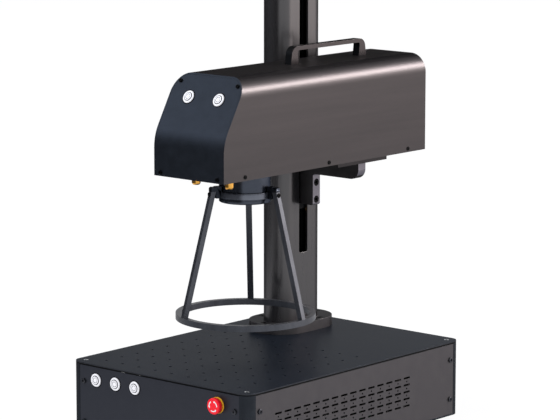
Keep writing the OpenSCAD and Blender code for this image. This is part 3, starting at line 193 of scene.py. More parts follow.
floor_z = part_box("feet")[0].z
floor_mesh = bpy.data.meshes.new("floor")
corners = [(x * FLOOR_SIZE, y * FLOOR_SIZE, floor_z) for x, y in ((-1, -1), (1, -1), (1, 1), (-1, 1))]
floor_mesh.from_pydata(corners, [], [(0, 1, 2, 3)])
floor_mesh.materials.append(floor_paint)
linked("floor", floor_mesh)
print(f"floor at {floor_z / MM:.1f} mm")

# %% [markdown]
# Dark satin metal looks like what stands round it. The photograph has a warm panel behind the right
# side, which lifts every face that looks to the right, a narrow strip above it, which draws the bright
# line along the head's rounded edge, and a cool panel to the front left. Only mirror rays see the
# strip, and only matt surfaces see a soft fill from the front, so that each can be set without spoiling
# the other. An area lamp's brightness is its power over pi times its area, so each lamp below is given
# by the brightness a mirror would show.

# %% Softboxes
AIM = Vector((0, 0, 0.2))


def softbox(name, direction, distance, size, brightness, tint, seen_by="all"):
    """A rectangular lamp that faces the machine, as bright in a mirror as brightness times white."""
    data = bpy.data.lights.new(name, "AREA")
    data.shape = "RECTANGLE"
    data.size, data.size_y = size
    data.color = lin(tint)[:3]
    data.energy = brightness * math.pi * size[0] * size[1]
    lamp = linked(name, data)
    towards = Vector(direction).normalized()
    lamp.location = AIM + towards * distance
    lamp.rotation_euler = towards.to_track_quat("Z", "Y").to_euler()
    lamp.visible_camera = False
    lamp.visible_diffuse = seen_by != "mirrors"
    lamp.visible_glossy = seen_by != "matt"
    return lamp


lamps = [
    softbox("warm_side_panel", (0.72, 0.70, 0.16), 2.4, (2.4, 1.2), 1.5, "#ffeee6"),
    softbox("edge_strip", (0.50, 0.75, 0.44), 2.2, (1.8, 0.34), 43.0, "#fff6f2", "mirrors"),
    softbox("cool_front_panel", (-0.64, -0.59, 0.44), 2.4, (1.3, 1.0), 2.8, "#e6eeff"),
    softbox("front_fill", (-0.15, -1.0, 0.30), 2.4, (1.6, 1.2), 2.4, "#fff8f4", "matt"),
]
print("lamps:", [f"{lamp.name} {lamp.data.energy:.1f} W" for lamp in lamps])

# %% [markdown]
# A black card does the opposite of a lamp. Where a dark face would mirror the white room, it turns grey
# and flat, so photographers stand black cards just outside the picture. The cards here are seen by
# mirror rays alone: they shade no matt surface and throw no shadow. Each stands upright on the floor, or
# is lifted off it, where only the column's and the head's reflections should meet it.

# %% Black cards
CARD_BLACK = "#18191b"
HEAD_LIFT = 0.53


def dark_card(name, direction, distance, size, lift=0.0):
    """A black upright card that faces the machine and that only mirror rays see."""
    paint = bpy.data.materials.new(name + "_paint")
    paint.use_nodes = True
    shader = paint.node_tree.nodes["Principled BSDF"]
    shader.inputs["Base Color"].default_value = lin(CARD_BLACK)
    shader.inputs["Roughness"].default_value = 1
    towards = Vector(direction).normalized()
    side = Vector((-towards.y, towards.x, 0)) * size[0] / 2
    foot = towards * distance + Vector((0, 0, floor_z + lift))
    rise = Vector((0, 0, size[1]))
    mesh = bpy.data.meshes.new(name)
    mesh.from_pydata([foot - side, foot + side, foot + side + rise, foot - side + rise], [], [(0, 1, 2, 3)])
    mesh.materials.append(paint)
    card = linked(name, mesh)
    for ray in ("camera", "diffuse", "transmission", "shadow"):
        setattr(card, "visible_" + ray, False)
    return card


cards = [
    dark_card("front_left_card", (-0.75, -0.66, 0), 1.1, (1.5, 0.74)),
    dark_card("left_card", (-0.995, 0.08, 0), 1.0, (0.85, 0.62)),
    dark_card("front_card", (0.05, -1.0, 0), 1.1, (0.9, 1.3)),
    dark_card("rear_left_card", (-0.65, 0.76, 0), 0.75, (1.2, 0.9), HEAD_LIFT),
]
print("cards:", [card.name for card in cards])

# %% [markdown]
# ## Finishes
#
# Nearly the whole machine is aluminium or steel sheet with a dark satin finish, so what tells one part
# from the next is small: how rough it is, which way it was brushed, how blue or brown its black is.
# One maker function therefore takes the real facts of a finish: two tones that it wanders between, the
# size of its grain in millimetres, how deep the grain is and the direction of its brushing. Patterns
# read Object coordinates, which are metres in the machine's own frame, so a grain of 1 mm is 1 mm on
# every part. Blasting and brushing leave marks of about 0.1 mm, too fine for a picture of this size, so
# they are drawn four to eight times as coarse.

# %% One maker for satin finishes
CLOUD_SIZE = 22
CLOSE_WEIGHT = 0.45
TONE_PLACES = (0.3, 0.7)
ROUGH_PLACES = (0.25, 0.75)


def grain(tree, size_mm, stretch, detail=3.0):
    """Noise with blobs about size_mm across, stretched along X, Y and Z by the given factors."""
    place = add(tree, "ShaderNodeTexCoord")
    scaled = add(tree, "ShaderNodeMapping", {"vector_type": "POINT"}, {
        0: place.outputs["Object"], "Scale": [1 / (size_mm * MM * s) for s in stretch]})
    return add(tree, "ShaderNodeTexNoise", inputs={
        "Vector": scaled.outputs[0], "Scale": 1, "Detail": detail, "Roughness": 0.55}).outputs["Fac"]


def finish(name, tones, metallic, rough, grain_mm=1.0, depth_mm=0.0, stretch=(1, 1, 1), sockets=None):
    """A satin finish that wanders between two tones and two roughness values, with a shallow relief."""
    material = bpy.data.materials.new(name)
    material.use_nodes = True
    tree = material.node_tree
    shader = tree.nodes["Principled BSDF"]
    for socket, value in {"Metallic": metallic, **(sockets or {})}.items():
        shader.inputs[socket].default_value = value
    clouds = grain(tree, grain_mm * CLOUD_SIZE, stretch)
    close = grain(tree, grain_mm, stretch)
    both = add(tree, "ShaderNodeMix", {"data_type": "FLOAT"}, {
        0: CLOSE_WEIGHT, 2: clouds, 3: close}).outputs[0]
    colour = add(tree, "ShaderNodeValToRGB", inputs={0: both})
    for element, tone, place in zip(colour.color_ramp.elements, tones, TONE_PLACES):
        element.color = lin(tone)
        element.position = place
    roughness = add(tree, "ShaderNodeMapRange", inputs={
        0: both, 1: ROUGH_PLACES[0], 2: ROUGH_PLACES[1], 3: rough[0], 4: rough[1]})
    tree.links.new(colour.outputs[0], shader.inputs["Base Color"])
    tree.links.new(roughness.outputs[0], shader.inputs["Roughness"])
    if depth_mm:
        relief = grain(tree, grain_mm, stretch, 2.0)
        bump = add(tree, "ShaderNodeBump", inputs={
            "Strength": 1, "Distance": depth_mm * MM, "Height": relief})
        tree.links.new(bump.outputs[0], shader.inputs["Normal"])
    return material


print("the finish maker is ready")

# %% [markdown]
# ### Anodised and coated metal
#
# Black anodising leaves aluminium's own satin under a dark dye: a metal, with a dark base colour. Bead
# blasting before it gives a fine even grain. Seen along the surface, the dye keeps it dark, where bare
# metal would turn white: Specular Tint sets that colour for a metal. The cover is brushed along its
# length first, and its black leans to brown. The fronts and the cabinet lean to blue, and powder coat
# is rougher than dye. The column is drawn, so its lines run upwards, while the barrel and the collar are
# turned, so theirs run round. The bracket's two ends get a lighter copy of its finish: painted light.

# %% Dark finishes
DYED = {"Specular Tint": lin("#5c5f66")}
BLASTED = {"grain_mm": 0.7, "depth_mm": 0.006}
COATED = {"grain_mm": 0.8, "depth_mm": 0.010}
TURNED = {"grain_mm": 0.5, "depth_mm": 0.002, "stretch": (6, 6, 1)}


def dyed(*facts, **more):
    """A finish on metal that a dye or coat keeps dark at glancing angles too."""
    return finish(*facts, **more, sockets=DYED)


cover_anodised = dyed("brushed_black_anodised_cover", ("#434142", "#4a4748"), 0.86, (0.33, 0.40),
    grain_mm=0.5, depth_mm=0.003, stretch=(1, 30, 1))
# the head's blasted front; on the cover's cut edge the same finish is painted shade
front_anodised_and_edge_shade = dyed("blasted_blue_black_front", ("#2a2e34", "#343941"), 0.80, (0.40, 0.50), **BLASTED)
cabinet_front = dyed("blasted_cabinet_front", ("#3b3d44", "#404249"), 0.80, (0.42, 0.48), **BLASTED)
flange_anodised = dyed("blasted_cast_flange", ("#525153", "#5c5a5b"), 0.82, (0.34, 0.42), **BLASTED)
side_coat = dyed("powder_coated_side_sheet", ("#4d4b4e", "#535153"), 0.70, (0.46, 0.52), **COATED)
post_coat = dyed("powder_coated_corner_posts", ("#282b30", "#31353b"), 0.70, (0.42, 0.50), **COATED)
table_anodised = dyed("blasted_anodised_table", ("#373e4a", "#3e4652"), 0.75, (0.36, 0.42),
    grain_mm=0.6, depth_mm=0.008)
# painted shade: a darker copy of the table's finish, for its edge
table_edge_painted_shade = dyed("anodised_table_edge", ("#34363b", "#404247"), 0.75, (0.42, 0.54), grain_mm=0.6)
column_anodised = dyed("drawn_anodised_column", ("#545355", "#595859"), 0.85, (0.26, 0.30),
    grain_mm=0.5, depth_mm=0.004, stretch=(1, 1, 40))
bracket_anodised = dyed("milled_anodised_bracket", ("#343334", "#434142"), 0.80, (0.36, 0.46),
    grain_mm=0.6, depth_mm=0.004, stretch=(1, 6, 1))
# painted light: a lighter copy of the bracket's finish for its two ends
painted_light_bracket_ends = dyed("ground_bracket_ends", ("#66646a", "#74727a"), 0.85, (0.36, 0.44),
    grain_mm=0.5, depth_mm=0.003, stretch=(1, 1, 8))
handle_anodised = dyed("satin_anodised_handle", ("#3f3c3d", "#4b4849"), 0.86, (0.22, 0.30),
    grain_mm=0.5, depth_mm=0.002, stretch=(1, 6, 1))
barrel_anodised = dyed("satin_lens_barrel", ("#3e424b", "#4a4f59"), 0.85, (0.20, 0.27), **TURNED)
collar_steel = dyed("turned_collar_steel", ("#5c6069", "#747882"), 0.85, (0.26, 0.34), **TURNED)
# black lacquer on the beam expander; on the guard's lugs its black is partly painted shade
black_lacquer_and_lug_shade = dyed("black_lacquered_parts", ("#23262c", "#30343b"), 0.75, (0.26, 0.36), **TURNED)
guard_steel = finish("brushed_dark_guard_steel", ("#3d3f45", "#565960"), 0.85, (0.36, 0.48),
    grain_mm=0.5, depth_mm=0.004, stretch=(1, 1, 6))
print("dark finishes:", [m.name for m in bpy.data.materials if "anodised" in m.name or "coated" in m.name])

# %% [markdown]
# ### Bare, plated and blackened metals
#
# Milled aluminium is bright and shows its cutter marks as fine lines. Zinc plate on the screws is a
# little blue, ground steel mirrors sharply, and brass is the one warm metal here: these are full metals
# and keep the default index of refraction. Black oxide is a dull skin on steel, so it is less of a
# metal. The buttons' satin plating scatters the white room, so that each one reads as a white disc. A
# mirror in its place would show the black cards, so this finish is white and hardly metallic.

# %% Metal finishes
milled_aluminium = finish("milled_aluminium", ("#8f9295", "#b1b4b7"), 1, (0.28, 0.40),
    grain_mm=0.5, depth_mm=0.003, stretch=(1, 8, 1))
zinc_plate = finish("zinc_plated_screws", ("#a3a7ab", "#c4c8cc"), 1, (0.24, 0.36), grain_mm=0.6)
ground_steel = finish("ground_bright_steel", ("#a9acb0", "#c2c5c9"), 1, (0.14, 0.22),
    grain_mm=0.4, depth_mm=0.001, stretch=(1, 1, 10))
turned_brass = finish("turned_brass", ("#d49a42", "#f0b65c"), 1, (0.22, 0.34), grain_mm=0.3, depth_mm=0.002)
plain_steel = finish("blackened_plate_steel", ("#3c3e41", "#505356"), 0.9, (0.44, 0.58),
    grain_mm=1.2, depth_mm=0.01)
# Black oxide on screws, rods and carriage; the same black also paints shade: the table's painted shadow,
# the handle's narrow faces, the caps' rim gaps, the washers and the column's slot.
black_oxide_and_painted_shade = finish("black_oxide_screws_and_painted_shade", ("#0c0d0e", "#141517"), 0.6, (0.40, 0.52),
    grain_mm=0.5, sockets={"Specular Tint": lin("#3a3b3e")})
# dark nickel on the panel screws; the same tone paints the shade in the buttons' ring groove
dark_nickel_and_groove_shade = dyed("dark_nickel_panel_screws", ("#3a3b40", "#4a4b50"), 0.85, (0.34, 0.44), grain_mm=0.5)
button_satin = finish("white_satin_button_plating", ("#f4f5f6", "#fcfcfd"), 0.05, (0.24, 0.36),
    grain_mm=0.4)
print("materials so far:", len(bpy.data.materials))

# %% [markdown]
# ### Plastics, rubber, glass
#
# Moulded ABS has a spark-eroded grain, which breaks its highlights, and the fan's glass-filled plastic
# is duller still. The stop button is satin nylon in a full, even colour. The knob is polished phenolic,
# with a sharp highlight. A scan mirror's dielectric coating and the lens's antireflection coating both
# show as colour only in their reflections, so the coating is a thin film on the shader, not a paint.

# %% Plastic, rubber and glass finishes
MOULDED = {"grain_mm": 0.7, "depth_mm": 0.012}
moulded_black = finish("moulded_black_abs", ("#17181a", "#1f2022"), 0, (0.42, 0.54), **MOULDED)
fan_black = finish("glass_filled_fan_plastic", ("#101112", "#17181a"), 0, (0.70, 0.80), **MOULDED,
    sockets={"Specular IOR Level": 0.2})
phenolic_black = finish("polished_phenolic_knob", ("#0f1011", "#17181a"), 0, (0.16, 0.26), grain_mm=2.0)
rubber_black = finish("moulded_rubber", ("#1a1a1b", "#242425"), 0, (0.66, 0.80),
    grain_mm=0.9, depth_mm=0.02)
nylon_red = finish("satin_red_nylon", ("#f21226", "#ff2034"), 0, (0.30, 0.38),
    grain_mm=2.5, sockets={"Specular IOR Level": 0.25})
nylon_yellow = finish("satin_yellow_nylon", ("#ffb41e", "#ffca40"), 0, (0.34, 0.44),
    grain_mm=2.0, sockets={"Specular IOR Level": 0.3})
print_white = finish("white_pad_print", ("#e6e6e6", "#f4f4f4"), 0, (0.50, 0.60), grain_mm=0.5)
rocker_red = finish("translucent_red_rocker", ("#a80f19", "#c4141f"), 0, (0.22, 0.30), grain_mm=1.5)
solder_mask = finish("green_solder_mask", ("#1f5a34", "#2f7547"), 0, (0.30, 0.40),
    grain_mm=1.5, depth_mm=0.01)
# epoxy on the board's chips; the same black paints the shade in the vents' cut walls
chip_black_and_vent_shade = finish("epoxy_chip_package_and_vent_shade", ("#191a1b", "#232425"), 0, (0.55, 0.66),
    grain_mm=0.4, depth_mm=0.01)
scan_coating = finish("dielectric_scan_mirror", ("#c9cdd2", "#dde0e4"), 1, (0.03, 0.05),
    grain_mm=3.0, sockets={"Thin Film Thickness": 320})
lens_coating = finish("antireflection_coated_lens", ("#c6d6dc", "#d8e4ea"), 0, (0.01, 0.03),
    grain_mm=4.0, sockets={"Transmission Weight": 0.9, "IOR": 1.52, "Thin Film Thickness": 240})
print("materials in all:", len(bpy.data.materials))

# %% [markdown]
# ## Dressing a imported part
#
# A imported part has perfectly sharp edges, which no real part has: a deburred edge catches a thin line of
# light. Its mesh is loose triangles, so it isn't touched. Instead a copy is merged, its flat regions are
# joined, and a narrow bevel runs along every edge sharper than an angle. The copy then stands for the
# node and rides on the same body. The edge width is the real one: 0.2 mm on a small turned part, 0.5 mm
# on sheet, 1 mm and more on moulded rubber.

# %% Copy and merge a node
EDGE_ANGLE = 33
FLAT_ANGLE = 0.4
MERGE_GAP = 0.002 * MM


def merged(node):
    """The node's surface as one joined bmesh, with its coplanar triangles dissolved."""
    shape = bmesh.new()
    shape.from_mesh(frame["nodes"][node].data)
    bmesh.ops.remove_doubles(shape, verts=shape.verts, dist=MERGE_GAP)
    bmesh.ops.dissolve_limit(shape, angle_limit=math.radians(FLAT_ANGLE), use_dissolve_boundaries=False,
        verts=shape.verts, edges=shape.edges)
    return shape


def object_of(shape, name):
    """A linked object made from a bmesh, which is freed."""
    mesh = bpy.data.meshes.new(name)
    shape.to_mesh(mesh)
    shape.free()
    return linked(name, mesh)


def baked(piece):
    """The piece with its modifiers turned into plain mesh."""
    graph = bpy.context.evaluated_depsgraph_get()
    mesh = bpy.data.meshes.new_from_object(piece.evaluated_get(graph))
    piece.modifiers.clear()
    piece.data = mesh
    return piece


def fitted(piece, node, material=None):
    """Gives a piece its finish and hands it to the frame: its body and the node it stands for."""
    if material:
        piece.data.materials.clear()
        piece.data.materials.append(material)
    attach(piece, frame["nodes"][node]["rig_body"])
    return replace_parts(piece, node)


# %% Break the edges and split the finish
def dressed(node, material, edge_mm, segments=2):
    """The node's own shape with broken edges and its finish."""
    piece = object_of(merged(node), node + "_dressed")
    piece.data.shade_smooth()
    bevel = piece.modifiers.new("broken_edge", "BEVEL")
    bevel.width = edge_mm * MM
    bevel.segments = segments
    bevel.limit_method = "ANGLE"
    bevel.angle_limit = math.radians(EDGE_ANGLE)
    bevel.use_clamp_overlap = True
    bevel.miter_outer = "MITER_ARC"
    shading = piece.modifiers.new("flat_faces_stay_flat", "WEIGHTED_NORMAL")
    shading.weight = 100
    shading.keep_sharp = True
    return fitted(baked(piece), node, material)


def dress_all(table):
    """Dresses every node of a table, which gives its finish, its edge in mm and perhaps the segments."""
    return {node: dressed(node, *how) for node, how in table.items()}


def split_finish(piece, materials, choose):
    """Gives each face the finish whose number choose() returns for the face's centre and normal."""
    piece.data.materials.clear()
    for material in materials:
        piece.data.materials.append(material)
    for face in piece.data.polygons:
        face.material_index = choose(face.center, face.normal)


print("edges are broken where faces meet at more than", EDGE_ANGLE, "degrees")

# %% [markdown]
# ## The cabinet
#
# Sheet panels, a bent bottom plate and four cast corner posts, with the worktable on top. All of these
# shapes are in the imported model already, down to the vents, so each is dressed: a fine edge and its own
# finish. The panels look alike but aren't painted alike: the sides are powder coated, the front and the
# table are blasted and anodised.

# %% Cabinet panels, posts, table and feet
cabinet = dress_all({
    "bottom_plate": (post_coat, 0.4),
    "feet": (rubber_black, 1.2, 3),
    "corner_posts": (post_coat, 0.5, 3),
    "front_panel": (cabinet_front, 0.6),
    "rear_panel": (side_coat, 0.25),
    "left_panel": (side_coat, 0.4),
    "right_panel": (side_coat, 0.4),
    "worktable": (table_anodised, 0.3),
    "column_base_plate": (plain_steel, 0.6),
})
print("cabinet:", sum(len(piece.data.polygons) for piece in cabinet.values()), "faces")

# %% [markdown]
# Two things on these sheets are painted with shade. Inside the vents the laser-cut edges are dark and
# unlit, so they are painted dull black, painted shade, and the slots read as clean dashes. The table's
# edge is a darker copy of the table's finish above, and black below: painted shade, the black a painted
# shadow under the seam. No edge of the mesh runs along that shadow line, so a plane cuts one in. A face
# is sorted by its normal: a share along an axis of more than a half says that it looks that way.

# %% Cut edges and the table's seam, painted shade
SIDEWAYS = 0.5
UPWARDS = 0.3
SHADOW_LINE_SHARE = 0.48

# painted shade: the vents' cut walls and the sheets' edges are painted black
for panel in ("left_panel", "right_panel"):
    split_finish(cabinet[panel], [side_coat, chip_black_and_vent_shade],
        lambda centre, normal: int(abs(normal.x) < SIDEWAYS))

table = cabinet["worktable"]
table_low, table_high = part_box("worktable")
shadow_line = table_low.z + SHADOW_LINE_SHARE * (table_high.z - table_low.z)
halves = bmesh.new()
halves.from_mesh(table.data)
bmesh.ops.bisect_plane(halves, geom=halves.verts[:] + halves.edges[:] + halves.faces[:], dist=MERGE_GAP,
    plane_co=(0, 0, shadow_line), plane_no=(0, 0, 1))
halves.to_mesh(table.data)
halves.free()
# painted shade: the edge darker than the top above the shadow line, and a painted shadow in black below it
split_finish(table, [table_anodised, table_edge_painted_shade, black_oxide_and_painted_shade],
    lambda centre, normal: 0 if normal.z > UPWARDS else 1 if centre.z > shadow_line else 2)
print(f"seam {(table_high.z - shadow_line) / MM:.1f} mm below the table's face")

# %% [markdown]
# Inside are the fibre laser source, its power supply, the control board and a fan. They are seen only
# through the vents and the fan grille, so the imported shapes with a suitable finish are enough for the
# two metal boxes. The board's chips and sockets are separate blocks on it, so its copy is split by
# height: what stands above the board is black, and what lies below is green.

# %% Inner units
BOARD_PARTS_RISE = 9.8 * MM

inner_units = dress_all({
    "control_board": (solder_mask, 0.3),
    "laser_source": (plain_steel, 0.4),
    "power_supply": (plain_steel, 0.5),
    "fan_frame": (fan_black, 0.6),
    "fan_rotor": (moulded_black, 0.3),
})
parts_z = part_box("power_supply")[0].z + BOARD_PARTS_RISE
split_finish(inner_units["control_board"], [solder_mask, chip_black_and_vent_shade],
    lambda centre, normal: int(centre.z > parts_z))
print("inner units:", list(inner_units))

# %% [markdown]
# The rear wall's fittings are moulded ABS, except the foot switch's socket, which is ground steel round
# a moulded core. The inlet's three blades are bare metal, so they are picked out by how deep they lie
# behind the inlet's flange and how near its middle.

# %% Rear fittings
BLADES_END = 6 * MM
BLADES_START = 16.5 * MM
BLADES_WIDTH = 8.5 * MM
BLADES_HEIGHT = 6.2 * MM
WALL_SKIN = 1 * MM

rear_fittings = dress_all({
    "power_inlet": (moulded_black, 0.3),
    "pedal_socket": (ground_steel, 0.4),
    "switch_frame": (moulded_black, 0.4),
    "power_rocker": (rocker_red, 0.5, 3),
    "cabinet_gland": (moulded_black, 0.5),
    "head_gland": (moulded_black, 0.5),
})
inlet_low, inlet_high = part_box("power_inlet")
inlet_middle = (inlet_low + inlet_high) / 2
rear_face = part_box("rear_panel")[1].y


def inlet_finish(centre, normal):
    """1 for the faces of the blades, which lie deep in the inlet and near its middle."""
    deep = BLADES_END < inlet_high.y - centre.y < BLADES_START
    from_middle = centre - inlet_middle
    return int(deep and abs(from_middle.x) < BLADES_WIDTH and abs(from_middle.z) < BLADES_HEIGHT)


split_finish(rear_fittings["power_inlet"], [moulded_black, ground_steel], inlet_finish)
split_finish(rear_fittings["pedal_socket"], [ground_steel, moulded_black],
    lambda centre, normal: int(centre.y < rear_face - WALL_SKIN))
print("rear fittings:", list(rear_fittings))

# %% [markdown]
# ## Column and lift
#
# The column is a drawn extrusion, so its grain runs up and down. Under it lies a cast flange, on top a
# cap that carries the handwheel. The rods, the screw and the carriage are blackened steel, whose black
# also stands in for the shade inside the column, so that the slot reads as a clean black line: partly
# painted shade. The nut is brass. The bracket's two ends, which look to the left and the right, are
# painted lighter than its milled faces: painted light.

# %% Column, flange, lift and handwheel
END_ON = 0.8

lift = dress_all({
    "column": (column_anodised, 0.5),
    "column_flange": (flange_anodised, 0.8, 3),
    "column_cap": (bracket_anodised, 0.7, 3),
    # the rods and the carriage are black oxide, black enough to stand in for the shade inside the column:
    # partly painted shade
    "guide_rods": (black_oxide_and_painted_shade, 0.4),
    "lower_bearing": (milled_aluminium, 0.6),
    "carriage": (black_oxide_and_painted_shade, 0.6),
    "lift_nut": (turned_brass, 0.4),
    "lift_bracket": (bracket_anodised, 0.6, 3),
    "handwheel": (moulded_black, 0.9, 3),
})
# painted light: the ends that look left and right get the lighter copy
split_finish(lift["lift_bracket"], [bracket_anodised, painted_light_bracket_ends],
    lambda centre, normal: int(abs(normal.x) > END_ON))
print("lift:", list(lift))

# %% [markdown]
# ## The marking head
#
# The cover is one sheet bent over two rounded edges, with an inset front that leans back. Its brushed
# finish draws the long highlight into a band. The front is blasted, so it stays flat and dark. The cover's
# own cut edge round it is given the front's darker finish: painted shade. The handle is satin on its two
# flanks, and the narrow faces between them, which mirror nothing bright, are painted black: painted shade.

# %% Head shell, optics and handle
FORWARDS = 0.7

head = dress_all({
    "head_plate": (bracket_anodised, 0.5),
    "head_floor": (front_anodised_and_edge_shade, 0.4),
    "head_cover": (cover_anodised, 0.35),
    "head_front": (front_anodised_and_edge_shade, 0.4),
    "head_rear": (front_anodised_and_edge_shade, 0.4),
    "carry_handle": (handle_anodised, 0.8, 3),
    "galvo_block": (milled_aluminium, 0.6),
    "beam_expander": (black_lacquer_and_lug_shade, 0.5),
    "mirror_x": (scan_coating, 0.2),
    "mirror_y": (scan_coating, 0.2),
    "laser_pointers": (turned_brass, 0.4),
    "lens_glass": (lens_coating, 0.3, 3),
})
# painted shade: the cover's forward-facing cut edge gets the front's darker finish
split_finish(head["head_cover"], [cover_anodised, front_anodised_and_edge_shade],
    lambda centre, normal: int(normal.y < -FORWARDS))
# painted shade: the handle's narrow faces are painted black between its satin flanks
split_finish(head["carry_handle"], [handle_anodised, black_oxide_and_painted_shade],
    lambda centre, normal: int(abs(normal.x) < SIDEWAYS))
print("head:", list(head))

# %% [markdown]
# ## Buttons
#
# Each push button is a turned bezel with a dished cap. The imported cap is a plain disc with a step, so a
# lathe makes the real one: half its outline is drawn as points, then spun about the button's axis. The
# outline has a dome in a ring groove, and it ends on the axis, so the pole is closed. After spinning,
# doubles are merged and normals recalculated, because a spin can turn a shape inside out. The other
# turned parts of the machine come from the same lathe.

# %% A lathe
LATHE_STEPS = 48
FINE_STEPS = 72
RING_STEPS = 96
SOFT_ANGLE = 40


def smooth(mesh, angle=EDGE_ANGLE):
    """Smooth shading that stays crisp at edges sharper than the angle."""
    mesh.shade_smooth()
    mesh.set_sharp_from_angle(angle=math.radians(angle))


def turned(name, outline, place, node, material=None, steps=LATHE_STEPS, angle=EDGE_ANGLE):
    """A closed solid, made by turning (radius, height) points in mm round Z, which stands for a node."""
    shape = bmesh.new()
    verts = [shape.verts.new((r * MM, 0, z * MM)) for r, z in outline]
    edges = [shape.edges.new(pair) for pair in zip(verts, verts[1:])]
    bmesh.ops.spin(shape, geom=verts + edges, cent=(0, 0, 0), axis=(0, 0, 1), angle=math.tau, steps=steps)
    bmesh.ops.remove_doubles(shape, verts=shape.verts, dist=MERGE_GAP)
    bmesh.ops.recalc_face_normals(shape, faces=shape.faces)
    piece = object_of(shape, name)
    piece.data.transform(place)
    smooth(piece.data, angle)
    return fitted(piece, node, material)


print("the lathe is ready")

# %% [markdown]
# A button's axis isn't typed in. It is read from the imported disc: the two flat ends share the most face
# area, so their normal is the axis, and all heights and radii are then measured along it and round it.

# %% Measuring a packed disc
PARALLEL = 0.999


def node_points(node):
    return [vertex.co.copy() for vertex in frame["nodes"][node].data.vertices]


def node_middle(node):
    low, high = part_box(node)
    return (low + high) / 2


def axis_of(faces):
    """The normal that most face area shares, with its sign left open."""
    sums = []
    for face in faces:
        for entry in sums:
            if abs(entry[0].dot(face.normal)) > PARALLEL:
                entry[1] += face.calc_area()
                break
        else:
            sums.append([face.normal.copy(), face.calc_area()])
    return max(sums, key=lambda entry: entry[1])[0].normalized()


def disc_axis(node, outward):
    """A packed disc's own axis, pointing to the outward side."""
    shape = merged(node)
    way = axis_of(shape.faces)
    shape.free()
    return way if way.dot(outward) > 0 else -way


def reach(points, origin, way):
    """Lowest and highest distance of the points along a way from the origin."""
    along = [(point - origin).dot(way) for point in points]
    return min(along), max(along)


def off_axis(point, middle, way):
    """A point's distance from the axis through the middle."""
    return (point - middle - way * (point - middle).dot(way)).length


def seat_on(middle, way, height):
    """The move that brings a turned part to a height along the way, facing that way."""
    turn = Vector(way).normalized().to_track_quat("Z", "Y").to_matrix().to_4x4()
    return Matrix.Translation(middle + way * height) @ turn


print("measuring is ready")

# %% [markdown]
# The cap is white satin with two rings of painted shade: the moulded ring groove, painted in dark
# nickel, and a painted shadow in black in the gap along its rim. Both are chosen by a face's distance
# from the axis, as a share of the cap's radius.

# %% Button caps and bezels
FRONT = Vector((0, -1, 0))
LEANING = Vector((0, -1, 0.5))
BUTTONS = {
    "button_1": ("button_bezels", FRONT),
    "button_2": ("button_bezels", FRONT),
    "button_3": ("button_bezels", FRONT),
    "head_button_left": ("head_bezels", LEANING),
    "head_button_right": ("head_bezels", LEANING),
}
# From the rim to the middle: a share of the cap's radius, and how far it lies below the top in mm.
CAP_OUTLINE = ((1, 0.5), (0.92, 0.5), (0.90, 0.15), (0.87, 0), (0.62, 0.05), (0.60, 0.25), (0.52, 0.25),
    (0.50, 0.08), (0, 0.12))
RIM_SHADOW_SHARE = 0.905
GROOVE_SHADE_SHARES = (0.51, 0.61)


def button_cap(node, outward):
    """A domed cap in a ring groove, standing for a packed cap and as high as it."""
    points, middle, way = node_points(node), node_middle(node), disc_axis(node, outward)
    low, high = reach(points, middle, way)
    radius = max(off_axis(point, middle, way) for point in points) / MM
    top = (high - low) / MM
    outline = [(0, 0), (radius, 0)] + [(radius * share, top - drop) for share, drop in CAP_OUTLINE]
    piece = turned(node + "_cap", outline, seat_on(middle, way, low), node)

    # painted shade: a black ring in the rim gap and a dark nickel ring in the groove
    def painted_shade_rings(centre, normal):
        share = off_axis(centre, middle, way) / (radius * MM)
        return 1 if share > RIM_SHADOW_SHARE else 2 if GROOVE_SHADE_SHARES[0] < share < GROOVE_SHADE_SHARES[1] else 0

    split_finish(piece, [button_satin, black_oxide_and_painted_shade, dark_nickel_and_groove_shade], painted_shade_rings)
    return piece


caps = [button_cap(node, outward) for node, (_, outward) in BUTTONS.items()]
bezels = dress_all({"button_bezels": (button_satin, 0.25), "head_bezels": (button_satin, 0.25)})
print("caps:", [cap.name for cap in caps], "bezels:", list(bezels))

# %% [markdown]
# Round each bezel lies a thin black ring: the washer that seals the button, whose black also stands in
# for the shadow round the bezel, so it is partly painted shadow. It is turned too, in the screws' dull
# black, and it sits where the bezel's rim starts. All bezels of a panel are one imported node, so the
# points of one bezel are those near its cap.

# %% Washers, partly painted shadow
NEAR_BEZEL = 12 * MM
RIM_SLICE = 0.2 * MM
# How far out from the bezel's radius and how far up from its seat, in mm.
WASHER_AND_SHADOW_OUTLINE = ((-1, -0.1), (1.2, -0.1), (1.2, 0.25), (0.95, 0.42), (-1, 0.42), (-1, -0.1))


def washer_and_shadow_ring(cap_node, bezel_node, outward):
    """The washer, partly a painted shadow, that shows as a thin black ring round a bezel."""
    middle, way = node_middle(cap_node), disc_axis(cap_node, outward)
    near = [point for point in node_points(bezel_node) if (point - middle).length < NEAR_BEZEL]
    radius = max(off_axis(point, middle, way) for point in near)
    rim = [point for point in near if off_axis(point, middle, way) > radius - RIM_SLICE]
    outline = [(radius / MM + out, up) for out, up in WASHER_AND_SHADOW_OUTLINE]
    place = seat_on(middle, way, reach(rim, middle, way)[0])
    return turned(cap_node + "_gasket_and_shadow", outline, place, bezel_node, black_oxide_and_painted_shade)


washer_and_shadow_rings = [washer_and_shadow_ring(node, bezel, outward) for node, (bezel, outward) in BUTTONS.items()]
print("washers:", len(washer_and_shadow_rings))

# %% [markdown]
# ## Screws grown from points
#
# Nearly sixty screws hold the machine together, with heads of four sizes. One could model each size and
# copy it by hand. Geometry Nodes do it from a cloud of points instead: each point carries the way its
# screw faces and its four measures, and one tree grows a head with a hexagon socket and a shank on every
# point. The points aren't typed in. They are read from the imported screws: the two flat ends give a
# screw's axis, as with the buttons, and the widest part is its head. They are sorted by place, so that
# every run deals the same random turn to the same screw.

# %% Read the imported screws
WIDEST_SHARE = 0.97
END_SLICE = 0.1 * MM
PLACE_DIGITS = 5


